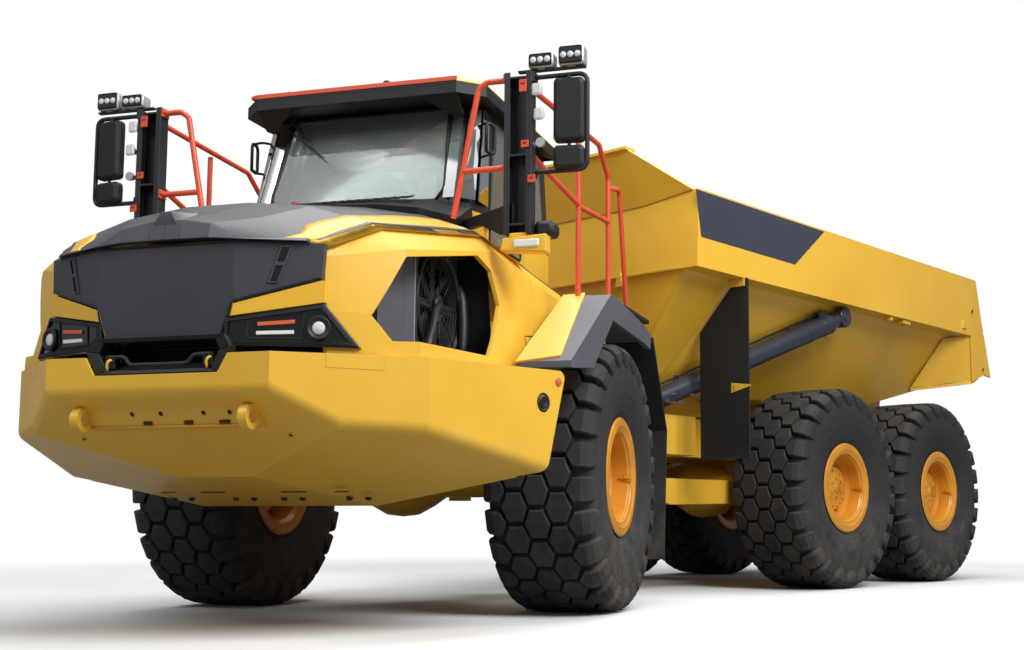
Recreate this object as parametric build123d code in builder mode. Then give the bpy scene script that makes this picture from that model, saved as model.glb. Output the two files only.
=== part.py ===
from build123d import *
import math
import os

os.makedirs("parts", exist_ok=True)

# Articulated dump truck. Millimetres, +Z up, +X to the truck's left, +Y to the tail.
# Both units are drawn straight, with the front axle at y = 0 and the ground at z = 0.
# At the end the front unit is turned about the hitch and the parts are set on the origin.

# Layout
articulation = 25.0          # left turn of the front unit, degrees
hitch_y = 1115.0             # upright hitch axis behind the front axle
mid_axle_y = 4518.0
tyre_radius = 937.5
tyre_clearance = 65.0        # between the two rear tyres of a side
bogie_spacing = 2 * tyre_radius + tyre_clearance
rear_axle_y = mid_axle_y + bogie_spacing
origin_x = 495.0             # middle of the turned truck, from the rear unit's centre line
origin_y = 2440.0            # middle of the turned truck, from the front axle
seat_gap = 0.3               # between pieces that move on each other
bore_gap = 0.05              # radial, shaft in its bore
plate = 20.0                 # body plates

# Wheels
tyre_width = 760.0
tread_width = 600.0
tyre_wall = 48.0
tread_depth = 52.0           # height of the lugs above the casing
casing_wall = 36.0
shoulder_drop = 58.0
lug_count = 22
lug_sink = 14.0              # lug root below the casing's surface
track = 2636.0
rim_width = 636.0
bead_radius = 322.0
flange_radius = 418.0
flange_thick = 22.0
barrel_wall = 22.0
disc_inset = 215.0           # outer flange face to the disc
disc_thick = 32.0
hub_radius = 215.0
spindle_radius = 110.0
hub_inner_length = 240.0

# Axles
hub_z = tyre_radius
axle_tube_radius = 140.0
diff_radius = 277.0
axle_flange_radius = 235.0

# Bumper
bumper_front_y = -3090.0
bumper_front_half = 650.0
bumper_bend_x = 1267.0
bumper_bend_y = -2535.0
bumper_rear_x = 1690.0
bumper_rear_y = -1470.0
bumper_top_front = 1468.0
bumper_top_rear = 1515.0
bumper_wall = 16.0
bumper_face_bottom = 1275.0
belly_front = (-2500.0, 870.0)
belly_low = (-1840.0, 750.0)
side_low_front = (bumper_bend_x, bumper_bend_y, 1092.0)
side_low_rear = (1640.0, -1600.0, 915.0)
side_low_inner = (900.0, -2000.0, 872.0)
rear_low = (-1625.0, 920.0)
belly_roll = 70.0            # rounding between the bumper's sides and its underside
corner_low = 72.0
corner_high = 45.0
bumper_face_open = 1060.0    # half width of the engine opening in the bumper's top
intake_half = 360.0
intake_flare = 60.0
intake_bottom = 1372.0
intake_depth = 260.0
tow_eye_x = 490.0
tow_eye_y = -3000.0
tow_eye_z = 1152.0
tow_eye_radius = 66.0
tow_eye_hole = 34.0
tow_eye_thick = 50.0

# Hood. Half sections from bottom to crown: y, then x and z of six points.
panel_wall = 24.0
hood_sections = [
    # y, bottom x, waist x, waist z, side top x, side top z, shoulder x, shoulder z, mid x, mid z, crown z
    (-2830.0, 830.0, 826.0, 1700.0, 800.0, 1985.0, 770.0, 2075.0, 430.0, 2215.0, 2250.0),
    (-2560.0, 1225.0, 1212.0, 1700.0, 1130.0, 2060.0, 935.0, 2215.0, 560.0, 2330.0, 2375.0),
    (-1210.0, 1300.0, 1270.0, 1700.0, 1125.0, 2325.0, 1000.0, 2465.0, 650.0, 2590.0, 2670.0),
    (-620.0, 1310.0, 1290.0, 1700.0, 1150.0, 2265.0, 1080.0, 2375.0, 860.0, 2420.0, 2740.0),
    (200.0, 1320.0, 1300.0, 1700.0, 1230.0, 2170.0, 1180.0, 2255.0, 860.0, 2300.0, 2400.0),
]
nose_tip_y = -3030.0
nose_tip = (400.0, 2066.0, 260.0, 2150.0, 2178.0)
seam = 8.0

# Cab
cab_half = 850.0
cab_floor = 2210.0
cab_sill = 2700.0
cab_top = 3555.0
cab_rear_y = 800.0
cab_wall = 50.0
roof_edge = 50.0             # upright rim of the roof
roof_height = 195.0
cab_plan = [(680.0, -930.0), (800.0, -810.0), (cab_half, -640.0), (cab_half, cab_rear_y)]
cab_plan_top = [(640.0, -620.0), (750.0, -560.0), (cab_half - 40, -440.0), (cab_half - 40, cab_rear_y - 30)]

# Wheel covers
arch_radius = 1010.0         # clearance cut of the side panels about the front wheel
fender_in = 1330.0
fender_out = 1680.0
fender_top = 2165.0
guard_in = 1320.0
guard_out = 1700.0

# Load body
body_front_y = 2160.0
body_half = 1650.0
body_top = 3340.0
band_bottom = 2690.0
band_depth = 180.0           # box band along each side of the load body
rim_bar = 110.0              # width of the band's top
wall_top_x = body_half - band_depth
body_end_y = 7850.0
canopy_half = 1060.0
canopy_top = 3740.0
wear_strip = 28.0            # raised plate on the sloping wall, measured across
floor_half = 790.0
floor_z = 1800.0
pivot_y = 7000.0
pivot_z = 1750.0
pivot_pin_radius = 60.0
pad_height = 15.0
beam_in = 300.0              # chassis beams under the load body
beam_out = 460.0
beam_bottom = 1230.0
beam_top = 1600.0
beam_end = 7160.0
side_box_out = 880.0

# Hoist cylinders
hoist_foot = (690.0, 2050.0, 1430.0)
hoist_eye = (body_half - 130.0, 4715.0, 2588.0)
barrel_radius = 95.0
rod_radius = 58.0
eye_radius = 95.0
foot_radius = 88.0
foot_half = 32.0
ball_radius = 60.0           # spherical bearing in the barrel's foot
foot_pin_radius = 35.0
eye_half = 45.0
boss_radius = 45.0
barrel_reach = 2550.0
rod_tail = 110.0

# Steering cylinders
steer_foot = (700.0, 150.0)
steer_eye = (360.0, 280.0)   # from the hitch axis
steer_z = 1180.0
steer_barrel_radius = 62.0
steer_rod_radius = 34.0
steer_rod_length = 800.0
steer_reach = 840.0
steer_bore_start = 80.0      # from the foot's pin to the bottom of the bore
steer_boss = 66.0            # half height of the pin bosses
steer_pin_radius = 28.0


def outline(plane, points):
    """Closed straight-sided face on a plane."""
    with BuildSketch(plane) as shape:
        with BuildLine():
            Polyline(*points, close=True)
        make_face()
    return shape.sketch


def across(y):
    """Plane across the truck: local x is X, local y is Z, facing forward."""
    return Plane(origin=(0, y, 0), x_dir=(1, 0, 0), z_dir=(0, -1, 0))


def along(x):
    """Plane along the truck: local x is Y, local y is Z, facing left."""
    return Plane(origin=(x, 0, 0), x_dir=(0, 1, 0), z_dir=(1, 0, 0))


def both_sides(points):
    """Close a half outline through its mirror image."""
    return points + [(-x, z) for x, z in reversed(points) if x > 0]


def tube(points, radius, bend):
    """Round bar bent along a path."""
    with BuildPart() as bar:
        with BuildLine() as path:
            if len(points) > 2:
                FilletPolyline(*points, radius=bend)
            else:
                Line(*points)
        with BuildSketch(Plane(origin=path.line @ 0, z_dir=path.line % 0)):
            Circle(radius)
        sweep()
    return bar.part


def mirrored(shape):
    """Copy of a shape on the other side of the centre line."""
    return shape.mirror(Plane.YZ)


# Tyre, drawn about the X axis: a plain casing with three rows of lugs fused on
half = tyre_width / 2
tread_half = tread_width / 2
casing_radius = tyre_radius - tread_depth
with BuildPart() as casing:
    with BuildSketch(Plane.XY):
        with BuildLine():
            Polyline((0, casing_radius), (tread_half, casing_radius - 9), (half - 30, casing_radius - shoulder_drop))
            ThreePointArc((half - 30, casing_radius - shoulder_drop), (half, 640), (rim_width / 2, flange_radius + 6))
            Polyline((rim_width / 2, flange_radius + 6), (rim_width / 2 - 3, bead_radius),
                     (rim_width / 2 - 70, bead_radius))
            ThreePointArc((rim_width / 2 - 70, bead_radius), (half - tyre_wall, 640),
                          (tread_half - 20, casing_radius - casing_wall))
            Polyline((tread_half - 20, casing_radius - casing_wall), (0, casing_radius - casing_wall),
                     (0, casing_radius))
        make_face()
        mirror(about=Plane.YZ)
    revolve(axis=Axis.X)

lug_pitch = 360 / lug_count
lug_root = casing_radius - lug_sink
lug_rows = [
    # side of the tread, block length round the tyre, share of a pitch it is turned by
    (1, 152.0, -0.25), (-1, 152.0, 0.25), (0, 196.0, 0.0),
]
lugs = []
foot_turn = -90 - math.degrees(math.asin(lug_rows[2][1] / 2 / tyre_radius))   # a corner stands on the ground
for side, length, share in lug_rows:
    flat = math.sqrt(tyre_radius ** 2 - (length / 2) ** 2)
    with BuildPart() as lug:
        if side:
            extrude(outline(Plane.XY, [
                (side * 205, lug_root), (side * 178, flat), (side * (tread_half + 8), flat - 6),
                (side * (half - 10), flat - 62), (side * (half + 2), flat - 165),
                (side * (half - 26), flat - 172), (side * (tread_half - 20), lug_root - 12)]),
                amount=length / 2, both=True)
        else:
            extrude(outline(Plane(origin=(0, lug_root, 0), x_dir=(1, 0, 0), z_dir=(0, 1, 0)), [
                (-140, 0), (-95, -length / 2), (95, -length / 2), (140, 0), (95, length / 2),
                (-95, length / 2)]), amount=flat - lug_root)
    for k in range(lug_count):
        lugs.append(lug.part.rotate(Axis.X, foot_turn + (k + share) * lug_pitch))
with BuildPart() as tyre:
    add(casing.part)
    add(lugs)

# Rim with its disc and hub, outer side towards +X
flange_x = rim_width / 2
disc_x = flange_x + flange_thick - disc_inset
seat_radius = bead_radius - seat_gap
inner_radius = seat_radius - barrel_wall
with BuildPart() as rim:
    with BuildSketch(Plane.XY):
        with BuildLine():
            Polyline(
                (flange_x - 2, seat_radius), (flange_x + 2, flange_radius - 14),
                (flange_x + flange_thick / 2, flange_radius), (flange_x + flange_thick, flange_radius - 16),
                (flange_x + flange_thick, flange_radius - 52), (flange_x + 12, bead_radius + 8),
                (flange_x - 18, inner_radius + 3), (disc_x + 60, inner_radius),
                (disc_x, inner_radius - 26), (disc_x, hub_radius),
                (disc_x + 70, hub_radius - 18), (disc_x + 78, hub_radius - 70), (disc_x + 96, 60),
                (disc_x + 96, 0), (disc_x + 20, 0), (disc_x + 20, spindle_radius + bore_gap),
                (disc_x - hub_inner_length, spindle_radius + bore_gap), (disc_x - hub_inner_length, 176),
                (disc_x - 120, 200), (disc_x - disc_thick, 240), (disc_x - disc_thick, inner_radius - 30),
                (disc_x - 70, inner_radius), (18 - flange_x, inner_radius + 3), (-12 - flange_x, bead_radius + 8),
                (-flange_x - flange_thick, flange_radius - 52),
                (-flange_x - flange_thick, flange_radius - 16),
                (-flange_x - flange_thick / 2, flange_radius), (-flange_x - 2, flange_radius - 14),
                (-flange_x + 2, seat_radius), close=True)
        make_face()
    revolve(axis=Axis.X)

hub_end = track / 2 + disc_x - hub_inner_length
spindle_end = track / 2 + disc_x + 14


# Axle with its differential, drawn at the middle of the truck
with BuildPart() as axle:
    with BuildSketch(Plane.XY):
        with BuildLine():
            Polyline((0, diff_radius), (110, diff_radius - 12), (230, 205), (330, axle_tube_radius),
                     (hub_end - 90, axle_tube_radius), (hub_end - 60, axle_flange_radius),
                     (hub_end - 8, axle_flange_radius), (hub_end - 8, spindle_radius),
                     (spindle_end, spindle_radius), (spindle_end, 0), (0, 0), close=True)
        make_face()
        mirror(about=Plane.YZ)
    revolve(axis=Axis.X)

# Bumper: plan outline cut by sloping planes, hollowed by the same form drawn in
side_run = (bumper_rear_x - bumper_bend_x) / (bumper_rear_y - bumper_bend_y)
bumper_plan = [(bumper_front_half, bumper_front_y), (bumper_bend_x, bumper_bend_y),
               (bumper_rear_x + 300 * side_run, bumper_rear_y + 300)]
low = [Vector(*side_low_front), Vector(*side_low_rear), Vector(*side_low_inner)]
side_up = (low[1] - low[0]).cross(low[2] - low[0])
side_up = side_up if side_up.Z > 0 else side_up * -1
bumper_planes = [
    # point, upward normal, side that stays
    (Vector(0, bumper_front_y, bumper_top_front),
     Vector(0, bumper_top_front - bumper_top_rear, bumper_rear_y - bumper_front_y), Keep.BOTTOM),
    (Vector(0, bumper_front_y, bumper_face_bottom),
     Vector(0, bumper_face_bottom - belly_front[1], belly_front[0] - bumper_front_y), Keep.TOP),
    (Vector(0, *belly_front),
     Vector(0, belly_front[1] - belly_low[1], belly_low[0] - belly_front[0]), Keep.TOP),
    (low[0], side_up, Keep.TOP),
    (Vector(-low[0].X, low[0].Y, low[0].Z), Vector(-side_up.X, side_up.Y, side_up.Z), Keep.TOP),
]
rear_slope = Plane(origin=(0, bumper_rear_y, bumper_top_rear), x_dir=(1, 0, 0),
                   z_dir=Vector(0, bumper_top_rear - rear_low[1], rear_low[0] - bumper_rear_y))


def bumper_form(wall):
    """Form of the bumper drawn in by a wall all round, running on to the rear."""
    with BuildPart() as form:
        with BuildSketch(Plane.XY.offset(500)):
            with BuildLine():
                Polyline(both_sides(bumper_plan), close=True)
            make_face()
            if wall:
                offset(amount=-wall, kind=Kind.INTERSECTION)
        extrude(amount=1200)
        for point, normal, kept in bumper_planes:
            inward = wall if kept is Keep.TOP else -wall
            split(bisect_by=Plane(origin=point + normal.normalized() * inward, z_dir=normal), keep=kept)
        low_edges = [e for f in form.faces() if abs(f.normal_at().Z) < 0.02 and f.normal_at().Y < 0.5
                     for e in f.edges() if (e @ 0.5).Z < bumper_face_bottom + 50 and abs((e % 0.5).Z) < 0.9]
        fillet(low_edges, radius=belly_roll - wall)
    return form.part


with BuildPart() as bumper_block:
    add(bumper_form(0))
    split(bisect_by=rear_slope, keep=Keep.BOTTOM)
    rear_edges = [e for e in bumper_block.faces().sort_by(Axis.Y)[-1].edges() if abs((e % 0.5).X) > 0.6]
    fillet([e for e in rear_edges if (e @ 0.5).Z > bumper_top_front], radius=corner_high)
with BuildPart() as bumper_shell:
    add(bumper_block.part)
    add(bumper_form(bumper_wall), mode=Mode.SUBTRACT)
    with Locations((0, (bumper_front_y + bumper_rear_y) / 2 + 200, bumper_top_rear)):
        Box(2 * bumper_face_open, bumper_rear_y - bumper_front_y, 200, mode=Mode.SUBTRACT)
    extrude(outline(across(bumper_front_y - 50), both_sides([
        (intake_half, intake_bottom), (intake_half + intake_flare, bumper_top_front + 10)])),
        amount=-(intake_depth + 50), mode=Mode.SUBTRACT)
    for side in (1, -1):
        with BuildSketch(along(side * (bumper_rear_x + 50))):
            with BuildLine():
                corner_y = rear_low[0] - (rear_low[0] - bumper_rear_y) * 0.1
                Line((corner_y - corner_low, side_low_rear[2] - 40), (corner_y + 200, side_low_rear[2] - 40))
                Line((corner_y + 200, side_low_rear[2] - 40), (corner_y + 200, side_low_rear[2] + corner_low))
                Line((corner_y + 200, side_low_rear[2] + corner_low), (corner_y, side_low_rear[2] + corner_low))
                RadiusArc((corner_y, side_low_rear[2] + corner_low), (corner_y - corner_low, side_low_rear[2] - 40),
                          corner_low + 40)
            make_face()
        extrude(amount=-side * 300, mode=Mode.SUBTRACT)

# Tow eyes with the ledge between them, standing on the sloping underside
eye_ledge = [(-3040.0, 1283.0), (-2998.0, 1223.0), (-2941.0, 1120.0), (-2830.0, 1105.0), (-2790.0, 1200.0)]
with BuildPart() as tow_eyes:
    for side in (1, -1):
        with BuildSketch(along(side * tow_eye_x - tow_eye_thick / 2)):
            with Locations((tow_eye_y, tow_eye_z)):
                Circle(tow_eye_radius)
            with Locations((tow_eye_y + 95, tow_eye_z + 20)):
                Rectangle(190, 2 * tow_eye_radius - 10)
            with Locations((tow_eye_y, tow_eye_z)):
                Circle(tow_eye_hole, mode=Mode.SUBTRACT)
        extrude(amount=tow_eye_thick)
    extrude(outline(along(0), eye_ledge), amount=tow_eye_x - tow_eye_thick / 2, both=True)
    add(bumper_block.part, mode=Mode.SUBTRACT)
with BuildPart() as bumper:
    add(bumper_shell.part)
    add(tow_eyes.part)


# Hood panels from the half sections
def bumper_top(y):
    """Height of the bumper's top edge at y."""
    rise = (bumper_top_rear - bumper_top_front) / (bumper_rear_y - bumper_front_y)
    return bumper_top_front + rise * (y - bumper_front_y)


def top_outline(y, shoulder_x, shoulder_z, mid_x, mid_z, crown_z):
    upper = [(shoulder_x, shoulder_z), (mid_x, mid_z), (mid_x * 0.35, crown_z)]
    lower = [(x, z - panel_wall) for x, z in upper]
    ring = upper + [(-x, z) for x, z in reversed(upper)]
    ring += [(-x, z) for x, z in lower] + [(x, z) for x, z in reversed(lower)]
    return outline(across(y), ring)


top_faces = [top_outline(nose_tip_y, *nose_tip)]
side_faces = []
seam_faces = []
for y, bottom_x, waist_x, waist_z, top_x, top_z, shoulder_x, shoulder_z, mid_x, mid_z, crown_z in hood_sections:
    top_faces.append(top_outline(y, shoulder_x, shoulder_z, mid_x, mid_z, crown_z))
    bottom = bumper_top(y) + seat_gap
    outer = [(bottom_x, bottom), (waist_x, waist_z), (top_x, top_z), (shoulder_x, shoulder_z)]
    inner = [(shoulder_x, shoulder_z - panel_wall), (top_x - panel_wall, top_z - panel_wall),
             (waist_x - panel_wall, waist_z), (bottom_x - panel_wall, bottom)]
    outer[3] = (shoulder_x + seat_gap, shoulder_z - seam)
    inner[0] = (shoulder_x + seat_gap, shoulder_z - panel_wall - seam)
    side_faces.append(outline(across(y), outer + inner))
    groove = [(x + 5, z + (5 if z > 2000 else 0)) for x, z in outer] + [(x - seam, z - seam * 0.5) for x, z in reversed(outer)]
    seam_faces.append(outline(across(y), groove))

cab_clear = 8.0
with BuildPart() as hood_top:
    loft(top_faces, ruled=True)
    extrude(outline(Plane.XY.offset(cab_floor - 300), both_sides(
        [(x + cab_clear, y - cab_clear) for x, y in cab_plan[:3]] + [(cab_half + cab_clear, 1500)])),
        amount=1500, mode=Mode.SUBTRACT)

hexagon = [(-2640, 1560), (-2700, 1690), (-2560, 2020), (-1500, 2240), (-1320, 2180), (-1300, 1960),
           (-1640, 1600)]
with BuildPart() as seam_tool:
    loft(seam_faces, ruled=True)
    extrude(outline(along(900), [(-640, 2700), (-640 + seam, 2700), (-560 + seam, 2110), (-1270 + seam, 1400),
                                 (-1270, 1400), (-560, 2110)]), amount=500, mode=Mode.INTERSECT)
with BuildPart() as hood_side:
    loft(side_faces, ruled=True)
    extrude(outline(along(900), hexagon), amount=500, mode=Mode.SUBTRACT)
    add(seam_tool.part, mode=Mode.SUBTRACT)
    with Locations((1200, 0, hub_z)):
        Cylinder(arch_radius, 900, rotation=(0, 90, 0), mode=Mode.SUBTRACT)

# Nose wall: one bent plan outline shared by the dark panel, its yellow wedges and the lamps
nose_plan = [(400.0, nose_tip_y), (822.0, -2858.0), (1000.0, -2736.3)]
nose_low = 1450.0
nose_high = 2150.0


def nose_wall(front_outline, depth=28.0, proud=0.0):
    """Part of the bent nose wall seen through a front outline."""
    with BuildPart() as wall:
        plan = [(x, y - proud) for x, y in [(0, nose_tip_y)] + nose_plan]
        plan += [(x, y + depth) for x, y in reversed([(0, nose_tip_y)] + nose_plan)]
        extrude(outline(Plane.XY.offset(nose_low), plan), amount=nose_high - nose_low)
        mirror(about=Plane.YZ)
        extrude(outline(across(-2600), front_outline), amount=700, mode=Mode.INTERSECT)
    return wall.part


nose_face = nose_wall(both_sides([(340, 1560), (400, 1735), (808, 1862), (820, 2046), (400, 2041.5)]))
wedges = [(400, 1727), (808, 1854), (822, 1854), (822, 1740), (385, 1662)]
lamp_face = [(360, 1560), (385, 1654), (822, 1732), (822, 1512), (345, 1512)]
lamp_wrap = [(821, 1732), (822, 1732), (975, 1512), (821, 1512)]
wrap_depth = 22.2
with BuildPart() as nose_panel:
    add(nose_face)

with BuildPart() as hood_sides:
    add(hood_side.part)
    add(nose_wall(wedges, 34.0))
    mirror(about=Plane.YZ)

with BuildPart() as headlamps:
    add(nose_wall(lamp_face))
    add(nose_wall(lamp_wrap, wrap_depth))
    mirror(about=Plane.YZ)

# Engine, side coolers and fans
fan_y = -1660.0
fan_z = 1910.0
shelf_top = 1560.0
cooler_x = 900.0
fan_radius = 320.0
fan_blades = 8
rail_top = 1420.0
rail_in = 330.0
rail_out = 440.0
with BuildPart() as engine:
    with Locations((0, -1300, rail_top + 335)):
        Box(860, 1500, 670)
    with Locations((0, -1920, shelf_top - 17)):
        Box(2 * cooler_x + 110, 1240, 34)
    for side in (1, -1):
        with Locations((side * cooler_x, -2260, shelf_top + 290)):
            Box(110, 540, 580)
        with Locations((side * cooler_x, fan_y, shelf_top + 350)):
            Box(70, 640, 700)
            Cylinder(fan_radius - 10, 70, rotation=(0, 90, 0), mode=Mode.SUBTRACT)
        with Locations((side * cooler_x, fan_y, fan_z)):
            Cylinder(90, 60, rotation=(0, 90, 0))
            Box(20, 640, 40)
            Box(20, 40, 640)
        for k in range(fan_blades):
            angle = 360 / fan_blades * k
            with Locations(Location((side * cooler_x, fan_y + 190 * math.cos(math.radians(angle)),
                                     fan_z + 190 * math.sin(math.radians(angle))), (angle, 0, 0))):
                Box(26, 240, 70, rotation=(0, 30, 0))

# Front frame: rails, cross tubes and the hitch yoke
rail_bottom = hub_z + axle_tube_radius + seat_gap
rail_end = 480.0
yoke_low = (820.0, 890.0)
yoke_high = (1390.0, 1460.0)
pin_radius = 90.0
with BuildPart() as front_frame:
    for side in (1, -1):
        extrude(outline(along(side * (rail_in + rail_out) / 2), [
            (bumper_front_y + bumper_wall + seat_gap, 1330), (bumper_front_y + bumper_wall + seat_gap, 1360),
            (-2800, 1360), (-2700, rail_top), (rail_end, rail_top), (rail_end, yoke_low[0]),
            (340, yoke_low[0]), (240, rail_bottom), (-300, rail_bottom), (-2500, rail_bottom + 60)]),
            amount=(rail_out - rail_in) / 2, both=True)
    for y in (-2400, -1700, 400):
        with Locations((0, y, rail_top - 130)):
            Box(2 * rail_in, 160, 180)
    for bottom, top in (yoke_low, yoke_high):
        with BuildSketch(Plane.XY.offset(bottom)):
            with BuildLine():
                Polyline((-rail_out, 360), (rail_out, 360), (rail_out, rail_end), (150, hitch_y + 20),
                         (-150, hitch_y + 20), (-rail_out, rail_end), close=True)
            make_face()
            with Locations((0, hitch_y)):
                Circle(160)
                Circle(pin_radius + bore_gap, mode=Mode.SUBTRACT)
        extrude(amount=top - bottom)
    for side in (1, -1):
        with Locations((side * (rail_out + steer_foot[0] + 80) / 2, steer_foot[1],
                        steer_z - steer_boss - seat_gap - 14)):
            Box(steer_foot[0] + 80 - rail_out, 150, 28)
        with Locations((side * steer_foot[0], steer_foot[1], steer_z - 6)):
            Cylinder(steer_pin_radius, 2 * steer_boss + 20)
    with Locations((0, 700, (yoke_low[1] + yoke_high[0]) / 2)):
        Box(220, 300, yoke_high[0] - yoke_low[1])

# Hitch: upright pin and block, and the tube that the rear frame rolls on
roll_z = 1150.0
roll_radius = 190.0
ring_front = hitch_y + 400.0
ring_length = 270.0
with BuildPart() as hitch:
    with BuildSketch(Plane.XY.offset(yoke_low[1] + seat_gap)):
        with Locations((0, hitch_y)):
            Circle(160)
    extrude(amount=yoke_high[0] - yoke_low[1] - 2 * seat_gap)
    with BuildSketch(Plane.XY.offset(yoke_low[0] - 30)):
        with Locations((0, hitch_y)):
            Circle(pin_radius)
    extrude(amount=yoke_high[1] - yoke_low[0] + 60)
    with BuildSketch(across(hitch_y)):
        with Locations((0, roll_z)):
            Circle(roll_radius)
    extrude(amount=-(ring_front - hitch_y + ring_length + 30))
    with BuildSketch(across(ring_front - seat_gap)):
        with Locations((0, roll_z)):
            Circle(roll_radius + 45)
    extrude(amount=45)
    for side in (1, -1):
        extrude(outline(Plane.XY.offset(steer_z - steer_boss - seat_gap - 28), [
            (0, hitch_y + 60), (side * (steer_eye[0] + 70), hitch_y + steer_eye[1] - 70),
            (side * (steer_eye[0] + 70), hitch_y + steer_eye[1] + 70), (0, hitch_y + 370)]), amount=28)

# Wheel covers over the front wheels
fender_rear = (640.0, 2090.0)
arch_outer = [(-1330, 1560), (-1330, 1600), (-390, fender_top), (-220, fender_top), fender_rear, (800, 2040)]
arch_inner = [(800, 2000), (600, 2045), (-370, 2118), (-1270, 1560)]
flare_inner = [(800, 1940), (560, 1960), (-330, 1995), (-830, 1610), (-1270, 1560)]
with BuildPart() as fenders:
    extrude(outline(along(fender_in), arch_outer + arch_inner), amount=fender_out - fender_in)
    extrude(outline(along(fender_out - 40), arch_outer + flare_inner), amount=40)
    mirror(about=Plane.YZ)

guard_path = [(800 + seat_gap, 2035), (1282, 1350), (1165, 330)]
with BuildPart() as mudguards:
    extrude(outline(along(guard_in), guard_path + [(1145, 330), (1258, 1346), (800 + seat_gap, 1990)]),
            amount=guard_out - guard_in)
    mirror(about=Plane.YZ)

# Cab shell: two lofts give the walls, then windows are cut


def inset(points, wall):
    """Plan outline drawn in by one wall."""
    return [(points[0][0] - wall * 0.5, points[0][1] + wall), (points[1][0] - wall * 0.8, points[1][1] + wall),
            (points[2][0] - wall, points[2][1] + wall * 0.6), (points[3][0] - wall, points[3][1] - wall)]


with BuildPart() as cab_block:
    extrude(outline(Plane.XY.offset(cab_floor), both_sides(cab_plan)), amount=cab_sill - cab_floor)
    loft([outline(Plane.XY.offset(cab_sill), both_sides(cab_plan)),
          outline(Plane.XY.offset(cab_top), both_sides(cab_plan_top))], ruled=True)
with BuildPart() as cab_room:
    extrude(outline(Plane.XY.offset(cab_floor + 60), both_sides(inset(cab_plan, cab_wall))),
            amount=cab_sill - cab_floor - 60)
    loft([outline(Plane.XY.offset(cab_sill), both_sides(inset(cab_plan, cab_wall))),
          outline(Plane.XY.offset(cab_top), both_sides(inset(cab_plan_top, cab_wall)))], ruled=True)

hinge_x = cab_half + 22.0
hinge_y = -640.0
hinge_pin = 12.0
hinge_heights = (2470.0, 2650.0)
windscreen = both_sides([(600.0, 2770.0), (650.0, 2860.0), (590.0, 3480.0)])
side_window = [(-600.0, 2770.0), (-420.0, 3480.0), (640.0, 3480.0), (700.0, 2770.0)]
rear_window = both_sides([(700.0, 2900.0), (670.0, 3480.0)])
door_hole = [(-620.0, 2430.0), (-620.0, 2700.0), (-440.0, 3515.0), (170.0, 3515.0), (190.0, 2430.0)]
quarter_window = [(260.0, 2770.0), (240.0, 3480.0), (640.0, 3480.0), (700.0, 2770.0)]
with BuildPart() as cab_walls:
    add(cab_block.part)
    add(cab_room.part, mode=Mode.SUBTRACT)
with BuildPart() as cab_shell:
    add(cab_walls.part)
    extrude(outline(across(-500), windscreen), amount=600, mode=Mode.SUBTRACT)
    extrude(outline(across(900), rear_window), amount=200, mode=Mode.SUBTRACT)
    extrude(outline(along(-700), side_window), amount=-300, mode=Mode.SUBTRACT)
    extrude(outline(along(700), quarter_window), amount=300, mode=Mode.SUBTRACT)
    extrude(outline(along(700), door_hole), amount=300, mode=Mode.SUBTRACT)
    for z in hinge_heights:
        with Locations((hinge_x, hinge_y, z - 6)):
            Box(2 * (hinge_x - cab_half) + 2, 44, 12)
        with Locations((hinge_x, hinge_y, z + 14)):
            Cylinder(hinge_pin, 40)

with BuildPart() as pane_band:
    add(cab_block.part)
    add(cab_room.part, mode=Mode.SUBTRACT)


def pane(face, depth):
    """Window pane: the wall's own shape seen through an outline, thinned."""
    with BuildPart() as glass:
        add(pane_band.part)
        extrude(face, amount=depth, mode=Mode.INTERSECT)
    return glass.part


with BuildPart() as cab_glass:
    for face, depth in ((outline(across(-500), windscreen), 600), (outline(across(900), rear_window), 200),
                        (outline(along(-700), side_window), -300),
                        (outline(along(700), quarter_window), 300)):
        add(pane(face, depth))

# Door: frame and pane in the doorway, a little clear of it
door_gap = 6.0
door_edge = [(-612.0, 2438.0), (-612.0, 2702.0), (-436.0, 3507.0), (162.0, 3507.0), (182.0, 2438.0)]
door_pane = [(-545.0, 2540.0), (-545.0, 2716.0), (-384.0, 3450.0), (100.0, 3450.0), (116.0, 2540.0)]
with BuildPart() as door_leaf:
    add(pane_band.part)
    extrude(outline(along(700), door_edge), amount=300, mode=Mode.INTERSECT)
with BuildPart() as cab_door:
    add(door_leaf.part)
    extrude(outline(along(700), door_pane), amount=300, mode=Mode.SUBTRACT)
    for z in hinge_heights:
        with BuildSketch(Plane.XY.offset(z + seat_gap)):
            with BuildLine():
                Polyline((hinge_x - 18, hinge_y), (hinge_x + 18, hinge_y), (hinge_x + 18, hinge_y + 80),
                         (cab_half - 6, hinge_y + 80), (cab_half - 6, hinge_y + 36), (hinge_x - 18, hinge_y + 36),
                         close=True)
            make_face()
            with Locations((hinge_x, hinge_y)):
                Circle(18)
            with Locations((hinge_x, hinge_y)):
                Circle(hinge_pin + bore_gap, mode=Mode.SUBTRACT)
        extrude(amount=16)
with BuildPart() as door_glass:
    add(door_leaf.part)
    extrude(outline(along(700), door_pane), amount=300, mode=Mode.INTERSECT)

roof_plan = [(745.0, -925.0), (900.0, -780.0), (900.0, cab_rear_y + 30)]
roof_crown = [(640.0, -760.0), (760.0, -640.0), (760.0, cab_rear_y - 90)]
with BuildPart() as cab_roof:
    extrude(outline(Plane.XY.offset(cab_top), both_sides(roof_plan)), amount=roof_edge)
    loft([outline(Plane.XY.offset(cab_top + roof_edge), both_sides(roof_plan)),
          outline(Plane.XY.offset(cab_top + roof_height), both_sides(roof_crown))], ruled=True)
    with Locations((0, -420, cab_top + roof_height + 35)):
        Cylinder(55, 70)

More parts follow.
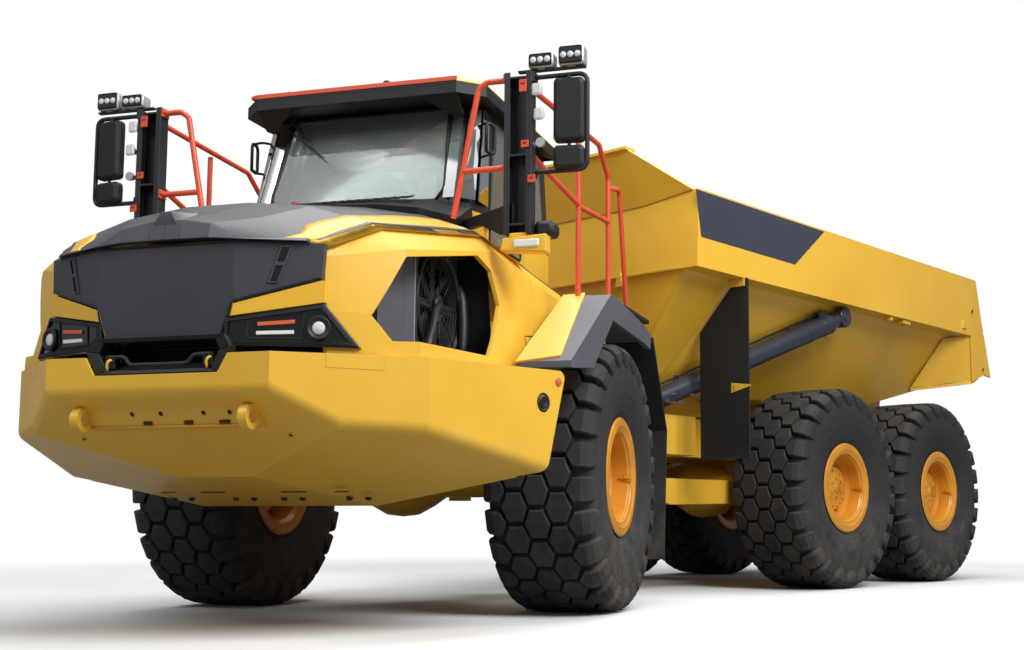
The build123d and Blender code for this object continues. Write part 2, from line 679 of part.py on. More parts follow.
with BuildPart() as cab_interior:
    with Locations((0, 120, cab_floor + 60 + 170)):
        Box(420, 420, 340)
    with Locations((0, 100, cab_floor + 60 + 400)):
        Box(520, 540, 120)
    with Locations((0, 370, cab_floor + 60 + 740)):
        Box(500, 120, 620)
    with Locations((0, 380, cab_floor + 60 + 1120)):
        Box(280, 90, 140)
    with Locations((0, -680, cab_floor + 60 + 280)):
        Box(900, 200, 560)
    with Locations((0, -560, cab_floor + 60 + 640)):
        Cylinder(210, 34, rotation=(-60, 0, 0))
    with Locations((0, -600, cab_floor + 60 + 560)):
        Cylinder(38, 220, rotation=(-60, 0, 0))



def fender_line(y):
    """Height of the fender's top behind its crest."""
    return fender_top + (fender_rear[1] - fender_top) * (y + 220) / (fender_rear[0] + 220)


# Walkway beside the cab, mast arms and the ladder behind the left front wheel
deck_z = 2200.0
mast_x = 1330.0
mast_y = -1300.0
arm_top = 2540.0
with BuildPart() as platform:
    for side in (1, -1):
        with Locations((side * 1235, 620, deck_z - 15)):
            Box(760, 800, 30)
        with Locations((side * 700, 340, (rail_top + cab_floor) / 2)):
            Box(120, 200, cab_floor - rail_top)
        with Locations((side * 980, 340, deck_z - 65)):
            Box(660, 120, 70)
        extrude(outline(along(side * 1400), [(y, z) for y, z in (
            (300, fender_line(300) + seat_gap), (300, deck_z - 20), (500, deck_z - 20),
            (500, fender_line(500) + seat_gap))]), amount=40, both=True)
    with Locations((0, 340, rail_top + 90)):
        Box(1520, 200, 90)
    for side in (1, -1):
        with Locations((side * (rail_in + rail_out) / 2, 300, rail_top + seat_gap + 25)):
            Box(rail_out - rail_in, 100, 50)
    for z in (520, 860, 1200, 1540, 1880):
        with Locations((1130, 980 + 0.08 * z, z)):
            Box(340, 130, 30)
    for x in (950, 1310):
        extrude(outline(along(x - 10), [(960, 420), (1040, 420), (1160, 2170), (1080, 2170)]), amount=20)

# Masts: an open channel on an arm from the cab's corner, with lamps and mirrors
mast_foot = 2400.0
mast_top = 3434.0
mast_width = 180.0
mast_depth = 90.0
mast_wall = 12.0
arm_run = Vector(745 - mast_x, -865 - mast_y, 0)
arm_plane = Plane(origin=(mast_x, mast_y, 0), x_dir=arm_run, z_dir=Vector(arm_run.Y, -arm_run.X, 0))
with BuildPart() as mast:
    with BuildSketch(Plane.XY.offset(mast_foot)):
        with Locations((mast_x, mast_y)):
            Rectangle(mast_width, mast_depth)
        with Locations((mast_x, mast_y - mast_wall)):
            Rectangle(mast_width - 2 * mast_wall, mast_depth, mode=Mode.SUBTRACT)
    extrude(amount=mast_top - mast_foot)
    extrude(outline(arm_plane, [(60, mast_foot + 30), (180, mast_foot + 30), (420, arm_top), (760, arm_top),
                                (760, arm_top + 70), (60, arm_top + 70)]), amount=25, both=True)
    with BuildSketch(Plane.XY.offset(mast_foot)):
        with BuildLine():
            Polyline(*both_sides(cab_plan), close=True)
        make_face()
        offset(amount=seat_gap, kind=Kind.INTERSECTION)
    extrude(amount=400, mode=Mode.SUBTRACT)
    for x in (1480, 1670):
        with Locations((x, mast_y, 3510)):
            Box(150, 120, 115)
    with Locations((1540, mast_y, 3443)):
        Box(440, 34, 18)
    add(tube([(mast_x + 80, mast_y, 3400), (1770, mast_y, 3400), (1770, mast_y, 2790),
              (mast_x + 80, mast_y, 2790)], 16, 60))
    with Locations((1655, mast_y, 3150)):
        Box(190, 90, 420)
    with Locations((1655, mast_y, 2865)):
        Box(190, 90, 120)
    with Locations((1655, mast_y, 3095)):
        Box(26, 30, 640)
with BuildPart() as masts:
    add(mast.part)
    mirror(about=Plane.YZ)

# Handrails
rail_radius = 19.0
mast_inner = mast_x - mast_width / 2 - seat_gap
mast_back = mast_y + mast_depth / 2 + 5
left_rails = [
    ([(890, mast_y, 2535), (1050, mast_y, 3360), (1110, mast_y, 3400), (mast_inner, mast_y, 3400)], 50),
    ([(955, mast_y, 2832), (mast_inner, mast_y, 2832)], 50),
    ([(1450, -405, fender_top + seat_gap), (1450, -405, 3358)], 50),
    ([(1450, 390, deck_z), (1450, 390, 3200), (1450, 130, 3380), (1352, mast_back, 3380)], 60),
    ([(1450, -410, 2790), (1450, 390, 2860)], 50),
    ([(1450, 400, 3120), (1450, 720, 3190), (1450, 960, deck_z + 12)], 60),
    ([(1352, mast_back, 2960), (1450, -420, 2800)], 50),
]
with BuildPart() as handrails:
    for path, bend in left_rails:
        bar = tube(path, rail_radius, bend)
        add(bar)
        add(mirrored(bar))

# Rear frame
bogie_y = (mid_axle_y + rear_axle_y) / 2
bogie_z = 1150.0
bogie_pin_radius = 70.0
bogie_beam_out = 730.0
tail_bar_half = 760.0        # cross member that carries the tail lamps
with BuildPart() as rear_frame:
    for side in (1, -1):
        extrude(outline(along(side * (beam_in + beam_out) / 2), [
            (ring_front + 60, 1010), (ring_front + 60, 1290), (2300, beam_top - 110), (2900, beam_top),
            (6700, beam_top), (beam_end, 1500), (beam_end, 1300), (6500, beam_bottom), (2500, beam_bottom),
            (2100, 1010)]), amount=(beam_out - beam_in) / 2, both=True)
    for y in (2250, 3000, 4000, bogie_y, 6980):
        with Locations((0, y, beam_bottom + 150)):
            Box(2 * beam_in, 200, 240)
    with Locations((0, beam_end + 15, 1400)):
        Box(2 * tail_bar_half, 30, 170)
    with BuildSketch(across(ring_front)):
        with Locations((0, roll_z)):
            Circle(310)
    extrude(amount=-ring_length)
    with BuildSketch(across(ring_front)):
        with Locations((0, roll_z)):
            Circle(roll_radius + bore_gap)
    extrude(amount=-(ring_length + 60), mode=Mode.SUBTRACT)
    for side in (1, -1):
        with Locations((side * (beam_out + 60), pivot_y, pivot_z)):
            Cylinder(pivot_pin_radius, 120, rotation=(0, 90, 0))
        extrude(outline(along(side * (beam_out - 30)), [
            (6800, 1500), (6920, pivot_z + 90), (7080, pivot_z + 90), (beam_end, 1500)]),
            amount=side * 60)
        with Locations((side * (beam_out + side_box_out) / 2, 2920, 1385)):
            Box(side_box_out - beam_out, 520, 350)
        with Locations((side * 760, 2720, 1110)):
            Box(120, 120, 220 - 2 * seat_gap)
        with Locations((side * (beam_out + hoist_foot[0] - foot_radius - seat_gap) / 2, hoist_foot[1] + 30,
                        hoist_foot[2] - 30)):
            Box(hoist_foot[0] - foot_radius - seat_gap - beam_out, 190, 200)
        with Locations((side * (hoist_foot[0] - 30), hoist_foot[1], hoist_foot[2])):
            Cylinder(foot_pin_radius, 150, rotation=(0, 90, 0))
        with Locations((side * hoist_foot[0], hoist_foot[1], hoist_foot[2])):
            Sphere(ball_radius, rotation=(0, 90, 0))
        with Locations((side * (beam_in + bogie_beam_out + 12) / 2, bogie_y, bogie_z)):
            Cylinder(bogie_pin_radius, bogie_beam_out + 12 - beam_in, rotation=(0, 90, 0))
        with Locations((side * (beam_in + beam_out) / 2, bogie_y, bogie_z)):
            Box(beam_out - beam_in, 340, 200)
        for y in (3200, 4400, 5800):
            with Locations((side * (beam_in + beam_out) / 2, y, beam_top + (pad_height - seat_gap) / 2)):
                Box(beam_out - beam_in, 300, pad_height - seat_gap)

# Bogie beams and axles under the rear unit
saddle = hub_z + axle_tube_radius + seat_gap
half_beam = [(bogie_spacing / 2 + 140, saddle), (bogie_spacing / 2 - 140, saddle),
             (bogie_spacing / 2 - 240, bogie_z - 140), (220, bogie_z - 150)]
half_beam_top = [(bogie_spacing / 2 + 140, saddle + 72), (bogie_spacing / 2 - 160, saddle + 112),
                 (250, bogie_z + 150)]
beam_outline = [(bogie_y + y, z) for y, z in half_beam] + [(bogie_y - y, z) for y, z in reversed(half_beam)]
beam_outline += [(bogie_y - y, z) for y, z in half_beam_top]
beam_outline += [(bogie_y + y, z) for y, z in reversed(half_beam_top)]
with BuildPart() as bogie_beams:
    for side in (1, -1):
        extrude(outline(along(side * (bogie_beam_out - 100)), beam_outline), amount=100, both=True)
        with Locations((side * bogie_beam_out, bogie_y, bogie_z)):
            Cylinder(bogie_pin_radius + bore_gap, 700, rotation=(0, 90, 0), mode=Mode.SUBTRACT)

with BuildPart() as rear_axles:
    for y in (mid_axle_y, rear_axle_y):
        add(axle.part.moved(Location((0, y, hub_z))))
    for side in (1, -1):
        extrude(outline(along(side * 790), [
            (2660, 1000 - seat_gap), (2660, 800), (2800, 770), (mid_axle_y - 60, 800),
            (mid_axle_y - 60, 1000 - seat_gap)]), amount=90, both=True)

# Load body
body_bottom_front = 2560.0
front_step = 40.0            # the lower front plate stands back under the upper one
front_knee = (body_front_y + 90, 2130.0)
section = [(floor_half, floor_z), (wall_top_x, band_bottom), (body_half, band_bottom), (body_half, body_top)]
hollow = [(floor_half - plate, floor_z + plate), (wall_top_x - 10, band_bottom + 10),
          (body_half - rim_bar, body_top + 10)]
side_view = [(body_front_y, band_bottom), (body_front_y + 30, body_top + 20), (body_end_y - 330, body_top + 20),
             (body_end_y - 150, 2700), (body_end_y - 210, 2300), (body_end_y - 440, 2150), (6020, floor_z - 1),
             (body_bottom_front, floor_z - 1), front_knee, (body_front_y + front_step, band_bottom)]
room_view = [(body_front_y + plate, band_bottom + plate), (body_front_y + 50, body_top + 40),
             (body_end_y + 150, body_top + 40), (body_end_y + 150, 2400), (body_end_y - 410, 2180),
             (6010, floor_z + plate), (body_bottom_front + 10, floor_z + plate),
             (front_knee[0] + plate, front_knee[1] + 7), (body_front_y + front_step + plate, band_bottom + plate)]
body_reach = body_half + 300  # past the body's side
body_length = body_end_y - body_front_y
with BuildPart() as body_outer:
    extrude(outline(across(body_front_y - 100), both_sides(section)), amount=-(body_length + 200))
    extrude(outline(along(-body_reach), side_view), amount=2 * body_reach, mode=Mode.INTERSECT)
with BuildPart() as body_room:
    extrude(outline(across(body_front_y - 100), both_sides(hollow)), amount=-(body_length + 500))
    extrude(outline(along(-body_reach), room_view), amount=2 * body_reach, mode=Mode.INTERSECT)
with BuildPart() as wear_plate:
    extrude(outline(across(body_front_y - 100), [
        (wall_top_x - 30, band_bottom), (wall_top_x + wear_strip, band_bottom),
        (floor_half + wear_strip, floor_z), (floor_half - 30, floor_z)]), amount=-1000)
    extrude(outline(along(0), [
        (body_front_y + front_step + 5, band_bottom), (2900, band_bottom), (2680, 1950),
        (body_bottom_front + 40, floor_z), (body_bottom_front, floor_z), (front_knee[0] + 4, front_knee[1])]),
        amount=body_reach, mode=Mode.INTERSECT)
    mirror(about=Plane.YZ)


def panel(corners, thick):
    """Flat plate through three or four corners."""
    points = [Vector(*corner) for corner in corners]
    face = Plane(origin=points[0], x_dir=points[1] - points[0],
                 z_dir=(points[1] - points[0]).cross(points[2] - points[0]))
    flat_points = [face.to_local_coords(point) for point in points]
    with BuildPart() as sheet:
        extrude(outline(face, [(point.X, point.Y) for point in flat_points]), amount=thick / 2, both=True)
    return sheet.part


canopy_y = body_front_y - 160
with BuildPart() as canopy:
    add(panel([(-canopy_half, canopy_y, canopy_top), (canopy_half, canopy_y, canopy_top),
               (canopy_half, body_front_y + 25, body_top - 60), (-canopy_half, body_front_y + 25, body_top - 60)],
              plate))
    for side in (1, -1):
        add(panel([(side * (canopy_half - 8), canopy_y, canopy_top),
                   (side * (canopy_half - 8), body_front_y + 25, body_top - 60),
                   (side * (body_half - 50), body_front_y + 25, body_top)], plate))
    with Locations((0, canopy_y + 25, canopy_top + 5)):
        Box(2 * canopy_half, 130, 25)
with BuildPart() as dump_body:
    add(body_outer.part)
    add(wear_plate.part)
    for side in (1, -1):
        with Locations((side * (hoist_eye[0] - eye_half - seat_gap - 75), hoist_eye[1], hoist_eye[2])):
            Cylinder(boss_radius, 150, rotation=(0, 90, 0))
    add(body_room.part, mode=Mode.SUBTRACT)
    add(canopy.part)
    for side in (1, -1):
        extrude(outline(along(side * (body_half - 12)), [
            (body_end_y - 350, body_top), (body_end_y, 2260), (body_end_y - 210, 2280),
            (body_end_y - 450, band_bottom + 10)]), amount=12, both=True)
        extrude(outline(along(side * 560), [(6860, floor_z + 221), (6880, pivot_z - 60),
                                            (7000, pivot_z - 110), (7120, pivot_z - 60),
                                            (7200, 2107)]), amount=40, both=True)
        with Locations((side * (beam_in + beam_out) / 2, 4485, (beam_top + pad_height + floor_z + 8) / 2)):
            Box(beam_out - beam_in, 3070, floor_z + 8 - beam_top - pad_height)
        with Locations((side * 560, pivot_y, pivot_z)):
            Cylinder(pivot_pin_radius + bore_gap, 90, rotation=(0, 90, 0), mode=Mode.SUBTRACT)

with BuildPart() as mud_flaps:
    extrude(outline(across(2862), [(1175, 1150), (1680, 1150), (1680, band_bottom - seat_gap), (1560, band_bottom - seat_gap),
                                   (1175, 2260)]), amount=14)
    mirror(about=Plane.YZ)


# Hoist cylinders: barrel on the rear frame, rod with its eye beside the body
def cylinder_pair(foot, eye, reach, bore_start, tail, barrel, rod, rod_short):
    """Barrel and rod of a cylinder between two points, without their end fittings."""
    start, end = Vector(*foot), Vector(*eye)
    length = (end - start).length
    axis_plane = Plane(origin=start, z_dir=end - start)
    with BuildPart() as outer:
        with BuildSketch(axis_plane.offset(40)):
            Circle(barrel)
        extrude(amount=reach - 40)
        with BuildSketch(axis_plane.offset(bore_start)):
            Circle(rod + bore_gap)
        extrude(amount=reach - bore_start + 1, mode=Mode.SUBTRACT)
    with BuildPart() as inner:
        with BuildSketch(axis_plane.offset(tail)):
            Circle(rod)
        extrude(amount=length - tail - rod_short)
    return outer.part, inner.part


barrel_solid, rod_solid = cylinder_pair(hoist_foot, hoist_eye, barrel_reach, rod_tail - seat_gap, rod_tail, barrel_radius,
                                        rod_radius, 75)
with BuildPart() as hoist_barrel:
    add(barrel_solid)
    with Locations(hoist_foot):
        Cylinder(foot_radius, 2 * foot_half, rotation=(0, 90, 0))
        Sphere(ball_radius + bore_gap, rotation=(0, 90, 0), mode=Mode.SUBTRACT)
with BuildPart() as hoist_rod:
    add(rod_solid)
    with Locations(hoist_eye):
        Cylinder(eye_radius, 2 * eye_half, rotation=(0, 90, 0))

turn = math.radians(articulation)


def turned(x, y):
    """Point of the front unit after its turn about the hitch."""
    dy = y - hitch_y
    return (x * math.cos(turn) - dy * math.sin(turn), hitch_y + x * math.sin(turn) + dy * math.cos(turn))


steering = {}
for side, word in ((1, "left"), (-1, "right")):
    foot = turned(side * steer_foot[0], steer_foot[1]) + (steer_z,)
    eye = (side * steer_eye[0], hitch_y + steer_eye[1], steer_z)
    reach = math.dist(foot, eye)
    barrel_solid, rod_solid = cylinder_pair(foot, eye, steer_reach, steer_bore_start, reach - steer_rod_length,
                                            steer_barrel_radius, steer_rod_radius, 30)
    with BuildPart() as steering_barrel:
        add(barrel_solid)
        with Locations(foot):
            Cylinder(60, 2 * steer_boss)
            Cylinder(steer_pin_radius + bore_gap, 2 * steer_boss + 10, mode=Mode.SUBTRACT)
    with BuildPart() as steering_rod:
        add(rod_solid)
        with Locations(eye):
            Cylinder(58, 2 * steer_boss)
    steering[word] = (steering_barrel, steering_rod)

# Placing and export
rear_place = Location((-origin_x, -origin_y, 0))
front_place = (Location((-origin_x, hitch_y - origin_y, 0), (0, 0, articulation))
               * Location((0, -hitch_y, 0)))

with BuildPart() as front_axle:
    add(axle.part.moved(Location((0, 0, hub_z))))

front_pieces = {
    "front_frame": front_frame, "bumper": bumper, "hood_top": hood_top, "hood_sides": hood_sides,
    "nose_panel": nose_panel, "headlamps": headlamps, "engine": engine, "fenders": fenders,
    "mudguards": mudguards, "cab_shell": cab_shell, "cab_roof": cab_roof, "cab_glass": cab_glass,
    "cab_interior": cab_interior, "platform": platform, "masts": masts, "handrails": handrails,
    "front_axle": front_axle, "cab_door": cab_door, "door_glass": door_glass,
}
rear_pieces = {
    "hitch": hitch, "rear_frame": rear_frame, "rear_axles": rear_axles, "bogie_beams": bogie_beams,
    "dump_body": dump_body, "mud_flaps": mud_flaps,
}
for word, (steering_barrel, steering_rod) in steering.items():
    rear_pieces["steering_barrel_" + word] = steering_barrel
    rear_pieces["steering_rod_" + word] = steering_rod

wheel_table = [("front", 0.0, front_place), ("mid", mid_axle_y, rear_place), ("rear", rear_axle_y, rear_place)]
for row, axle_y, place in wheel_table:
    for side, word in ((1, "left"), (-1, "right")):
        at = place * Location((side * track / 2, axle_y, hub_z))
        for kind, wheel_piece in (("tyre", tyre), ("rim", rim)):
            shape = wheel_piece.part if side > 0 else mirrored(wheel_piece.part)
            shape = shape.moved(at)
            shape.label = f"{kind}_{row}_{word}"
            export_step(shape, f"parts/{kind}_{row}_{word}.step")

for side, word in ((1, "left"), (-1, "right")):
    for kind, cylinder_piece in (("hoist_barrel", hoist_barrel), ("hoist_rod", hoist_rod)):
        shape = cylinder_piece.part if side > 0 else mirrored(cylinder_piece.part)
        shape = shape.moved(rear_place)
        shape.label = f"{kind}_{word}"
        export_step(shape, f"parts/{kind}_{word}.step")

for place, pieces in ((front_place, front_pieces), (rear_place, rear_pieces)):
    for name, piece in pieces.items():
        piece.part.locate(place * piece.part.location)
        piece.part.label = name
        export_step(piece.part, f"parts/{name}.step")
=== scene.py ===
# %% [markdown]
# # An articulated dump truck in Blender
# The truck is a tractor unit and a tipping unit joined by a hinge. The rigid forms come from the
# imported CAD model, which is loaded first and never moved. This script gives every one of them a
# finish, adds the parts that a maker fits last, such as tread, lamps, bolts and trim, and sets up
# a plain studio. Everything is in metres.

# %% Load the frame
import math

import bpy
from mathutils import Matrix, Vector


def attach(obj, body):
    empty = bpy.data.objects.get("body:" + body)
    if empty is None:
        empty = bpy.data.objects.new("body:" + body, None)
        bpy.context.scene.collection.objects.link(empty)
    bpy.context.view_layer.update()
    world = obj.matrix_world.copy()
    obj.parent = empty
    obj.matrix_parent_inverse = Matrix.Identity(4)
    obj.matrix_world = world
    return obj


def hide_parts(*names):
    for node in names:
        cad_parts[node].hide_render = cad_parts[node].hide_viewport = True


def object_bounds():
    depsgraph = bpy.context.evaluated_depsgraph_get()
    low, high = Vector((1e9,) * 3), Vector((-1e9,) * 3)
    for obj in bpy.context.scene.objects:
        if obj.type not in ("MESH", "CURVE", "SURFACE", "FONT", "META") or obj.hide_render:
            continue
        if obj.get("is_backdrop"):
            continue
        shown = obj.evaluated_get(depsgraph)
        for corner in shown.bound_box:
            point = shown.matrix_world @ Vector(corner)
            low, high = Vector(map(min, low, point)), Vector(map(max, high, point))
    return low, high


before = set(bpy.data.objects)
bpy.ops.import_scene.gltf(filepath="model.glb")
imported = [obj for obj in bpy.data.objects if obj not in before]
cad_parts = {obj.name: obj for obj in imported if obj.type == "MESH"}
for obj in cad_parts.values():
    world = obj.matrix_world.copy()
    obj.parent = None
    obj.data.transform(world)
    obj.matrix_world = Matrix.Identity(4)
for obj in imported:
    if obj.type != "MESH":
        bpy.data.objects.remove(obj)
cad_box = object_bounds()

# %% [markdown]
# Both units are easiest to draw while the truck stands straight: y = 0 at the front axle, x to the
# left, z up from the ground. One matrix for each unit then carries a finished mesh to its place,
# because the truck in the photograph is turned 25 degrees at the hinge.

# %% Placing the two units
TURN = math.radians(25.0)
HITCH_Y = 1.115
REAR = Matrix.Translation((-0.495, -2.440, 0))
FRONT = (REAR @ Matrix.Translation((0, HITCH_Y, 0)) @ Matrix.Rotation(TURN, 4, "Z")
         @ Matrix.Translation((0, -HITCH_Y, 0)))
FRONT_BODIES = ("front_unit", "door", "wheel_front")

# %% [markdown]
# A piece is drawn as a list of simple solids in one mesh, so that a row of bolts or lugs is one
# object. The small class below collects them: blocks, plates, pipes, turned shapes and skins over
# rings of points are all that sheet metal, rubber and tube need. A bevel modifier then softens
# the edges, because an edge with no rounding catches no light and looks like paper.


# %% A mesh under construction
def ring_faces(rings, n):
    """Four-cornered faces between one ring of n points and the next."""
    return [[k * n + i, k * n + (i + 1) % n, (k + 1) * n + (i + 1) % n, (k + 1) * n + i]
            for k in range(rings - 1) for i in range(n)]


def end_faces(rings, n):
    """The two faces that close the first ring and the last."""
    return [list(range(n))[::-1], [(rings - 1) * n + i for i in range(n)]]


X_AXIS, Z_AXIS = Vector((1, 0, 0)), Vector((0, 0, 1))


def square_to(way):
    """A direction square to another."""
    return way.cross(Z_AXIS if abs(way.z) < 0.9 else X_AXIS)


class Shape:
    """Collects solids in straight coordinates and turns them into one object."""

    def __init__(self):
        self.verts, self.faces, self.smooth = [], [], []

    def add(self, verts, faces, smooth=False):
        """Take in points and faces; a smooth face is shaded round."""
        first = len(self.verts)
        self.verts += [Vector(v) for v in verts]
        self.faces += [[first + i for i in face] for face in faces]
        self.smooth += [smooth] * len(faces)
        return self

    def skin(self, rings, smooth=False, ends=True):
        """Skin over rings of equally many points, closed at both ends unless told not to."""
        faces = ring_faces(len(rings), len(rings[0]))
        if ends:
            faces += end_faces(len(rings), len(rings[0]))
        return self.add([v for ring in rings for v in ring], faces, smooth)

    def plate(self, corners, thick):
        """Plate with one face over the corners and the other pushed off by a vector."""
        corners = [Vector(c) for c in corners]
        return self.skin([corners, [c + Vector(thick) for c in corners]])

    def box(self, centre, size, turn=None):
        """Block with its middle at centre, turned by a matrix if one is given."""
        x, y, z = (s / 2 for s in size)
        corners = [Vector(c) for c in ((-x, -y, -z), (x, -y, -z), (x, y, -z), (-x, y, -z),
                                       (-x, -y, z), (x, -y, z), (x, y, z), (-x, y, z))]
        if turn is not None:
            corners = [turn @ c for c in corners]
        corners = [c + Vector(centre) for c in corners]
        return self.add(corners, [(3, 2, 1, 0), (4, 5, 6, 7), (0, 1, 5, 4), (1, 2, 6, 5), (2, 3, 7, 6),
                                  (3, 0, 4, 7)])

    def lathe(self, profile, centre, axis, steps=48, closed=True):
        """Profile of (along, radius) turned about an axis through centre."""
        along = Vector(axis).normalized()
        side = square_to(along).normalized()
        up = side.cross(along)
        n = len(profile)
        verts = []
        for k in range(steps):
            a = 2 * math.pi * k / steps
            out = side * math.cos(a) + up * math.sin(a)
            verts += [Vector(centre) + along * t + out * r for t, r in profile]
        faces = []
        for k in range(steps):
            m = (k + 1) % steps
            for i in range(n if closed else n - 1):
                j = (i + 1) % n
                faces.append([k * n + i, m * n + i, m * n + j, k * n + j])
        return self.add(verts, faces, True)

    def pipe(self, points, radius, bend=0.0, sides=12):
        """Round bar along a path whose corners are rounded."""
        path = rounded(points, bend) if bend else [Vector(p) for p in points]
        n = len(path)
        verts = []
        normal = None
        for k in range(n):
            ahead = (path[min(k + 1, n - 1)] - path[max(k - 1, 0)]).normalized()
            if normal is None:
                normal = square_to(ahead)
            normal = (normal - ahead * normal.dot(ahead)).normalized()
            other = ahead.cross(normal)
            for i in range(sides):
                a = 2 * math.pi * i / sides
                verts.append(path[k] + (normal * math.cos(a) + other * math.sin(a)) * radius)
        self.add(verts, ring_faces(n, sides), True)
        first = len(self.verts) - len(verts)
        self.faces += [[first + i for i in face] for face in end_faces(n, sides)]
        self.smooth += [False, False]
        return self

    def merge(self, other, matrix=None):
        """Take in another shape, moved by a matrix."""
        verts = [matrix @ v for v in other.verts] if matrix is not None else other.verts
        first = len(self.verts)
        self.verts += verts
        flip = matrix is not None and matrix.determinant() < 0
        self.faces += [[first + i for i in (face[::-1] if flip else face)] for face in other.faces]
        self.smooth += other.smooth
        return self

    def mirrored(self):
        """Add the same on the other side of the centre line."""
        copy = Shape()
        copy.verts, copy.faces, copy.smooth = list(self.verts), list(self.faces), list(self.smooth)
        return self.merge(copy, Matrix.Scale(-1, 4, X_AXIS))


def rounded(points, bend, steps=5):
    """Path with each corner replaced by an arc."""
    points = [Vector(p) for p in points]
    path = [points[0]]
    for before, corner, after in zip(points, points[1:], points[2:]):
        to_before, to_after = (before - corner), (after - corner)
        reach = min(bend, to_before.length * 0.45, to_after.length * 0.45)
        start = corner + to_before.normalized() * reach
        end = corner + to_after.normalized() * reach
        for k in range(steps + 1):
            t = k / steps
            path.append(start * (1 - t) ** 2 + corner * 2 * t * (1 - t) + end * t ** 2)
    return path + [points[-1]]


pieces = {}


def build(name, shape, body, material, bevel=0.0, angle=30.0):
    """Make an object of a shape, put it on its body and give it a finish."""
    mesh = bpy.data.meshes.new(name)
    place = FRONT if body.startswith(FRONT_BODIES) else REAR
    mesh.from_pydata([place @ v for v in shape.verts], [], shape.faces)
    for face, smooth in zip(mesh.polygons, shape.smooth):
        face.use_smooth = smooth or bevel > 0
    mesh.update()
    mesh.validate()
    obj = bpy.data.objects.new(name, mesh)
    bpy.context.scene.collection.objects.link(obj)
    if bevel:
        edge = obj.modifiers.new("soft edges", "BEVEL")
        edge.width, edge.segments, edge.limit_method = bevel, 2, "ANGLE"
        edge.angle_limit = math.radians(angle)
        edge.harden_normals = True
    mesh.materials.append(material)
    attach(obj, body)
    pieces[name] = obj
    print(name, len(mesh.polygons), "faces on", body)
    return obj


# %% [markdown]
# ## Studio
# The camera stands low, in front of the truck's left corner, as a person would who kneels to
# make the machine look tall. Its place, its three turns and its lens were solved from the wheels
# and the symmetric nose. The small shift slides the picture over the truck without turning the
# camera, so every line still runs to the same vanishing point. The floor is pale and runs out to
# white, so that it keeps the truck's shadow and has no horizon.

# %% Camera
EYE = Vector((7.148, -8.5445, 0.6427))
YAW, PITCH, ROLL = -0.7100, 0.1075, 0.0011
ahead = Vector((math.cos(PITCH) * math.sin(YAW), math.cos(PITCH) * math.cos(YAW), math.sin(PITCH)))
right = Vector((math.cos(YAW), -math.sin(YAW), 0))
above = right.cross(ahead)
right, above = (right * math.cos(ROLL) + above * math.sin(ROLL),
                above * math.cos(ROLL) - right * math.sin(ROLL))
lens = bpy.data.cameras.new("camera")
lens.sensor_width, lens.lens = 36.0, 44.73
lens.shift_x, lens.shift_y = -0.0794, 0.0555
camera = bpy.data.objects.new("camera", lens)
bpy.context.scene.collection.objects.link(camera)
camera.matrix_world = Matrix((right, above, -ahead)).transposed().to_4x4()
camera.location = EYE
bpy.context.scene.camera = camera
bpy.context.scene.view_settings.view_transform = "Standard"
print("camera at", tuple(round(v, 2) for v in EYE))


# %% Lamps
def soft_box(name, place, aim, size, power):
    """Square area lamp at a place, turned to what it lights."""
    data = bpy.data.lights.new(name, "AREA")
    data.shape, data.size, data.energy = "SQUARE", size, power
    lamp = bpy.data.objects.new(name, data)
    bpy.context.scene.collection.objects.link(lamp)
    lamp.location = place
    lamp.rotation_euler = (Vector(aim) - Vector(place)).to_track_quat("-Z", "Y").to_euler()
    return lamp


for lamp_row in [
    # name, place, aim, size, watts
    ("key", (10.5, -3.0, 9.5), (0.3, -0.5, 1.6), 6.0, 1500.0),
    ("front", (0.0, -12.0, 10.0), (0.0, -3.0, 1.6), 6.0, 430.0),
    ("top", (0.0, 0.5, 11.0), (0.0, 0.0, 1.0), 9.0, 1100.0),
    ("cab", (-0.35, -2.75, 3.42), (-0.35, -2.75, 2.6), 0.5, 26.0),
]:
    soft_box(*lamp_row)

# %% [markdown]
# The world is an even grey-white that fills the shadows. Rays that come straight from the
# camera, or through glass, see plain white instead, so the backdrop is white and the paint is
# lit no more for it. The floor works the same way. It shows pale, fades to white with distance,
# and sends back less light than it shows, so the truck's belly stays in its own shade.


# %% World and floor
def wire(tree, a, out, b, into):
    """Link one node's output to another's input."""
    tree.links.new(a.outputs[out], b.inputs[into])


world = bpy.data.worlds.new("studio")
bpy.context.scene.world = world
world.use_nodes = True
sky = world.node_tree
sky.nodes.clear()
seen = sky.nodes.new("ShaderNodeLightPath")
straight = sky.nodes.new("ShaderNodeMath")
straight.operation = "MAXIMUM"
wire(sky, seen, "Is Camera Ray", straight, 0)
wire(sky, seen, "Is Transmission Ray", straight, 1)
fill, white = (sky.nodes.new("ShaderNodeBackground") for _ in range(2))
pick = sky.nodes.new("ShaderNodeMixShader")
fill.inputs["Color"].default_value, fill.inputs["Strength"].default_value = (0.93, 0.96, 1.0, 1), 0.26
white.inputs["Color"].default_value, white.inputs["Strength"].default_value = (1, 1, 1, 1), 1.0
wire(sky, straight, 0, pick, 0)
wire(sky, fill, 0, pick, 1)
wire(sky, white, 0, pick, 2)
wire(sky, pick, 0, sky.nodes.new("ShaderNodeOutputWorld"), "Surface")

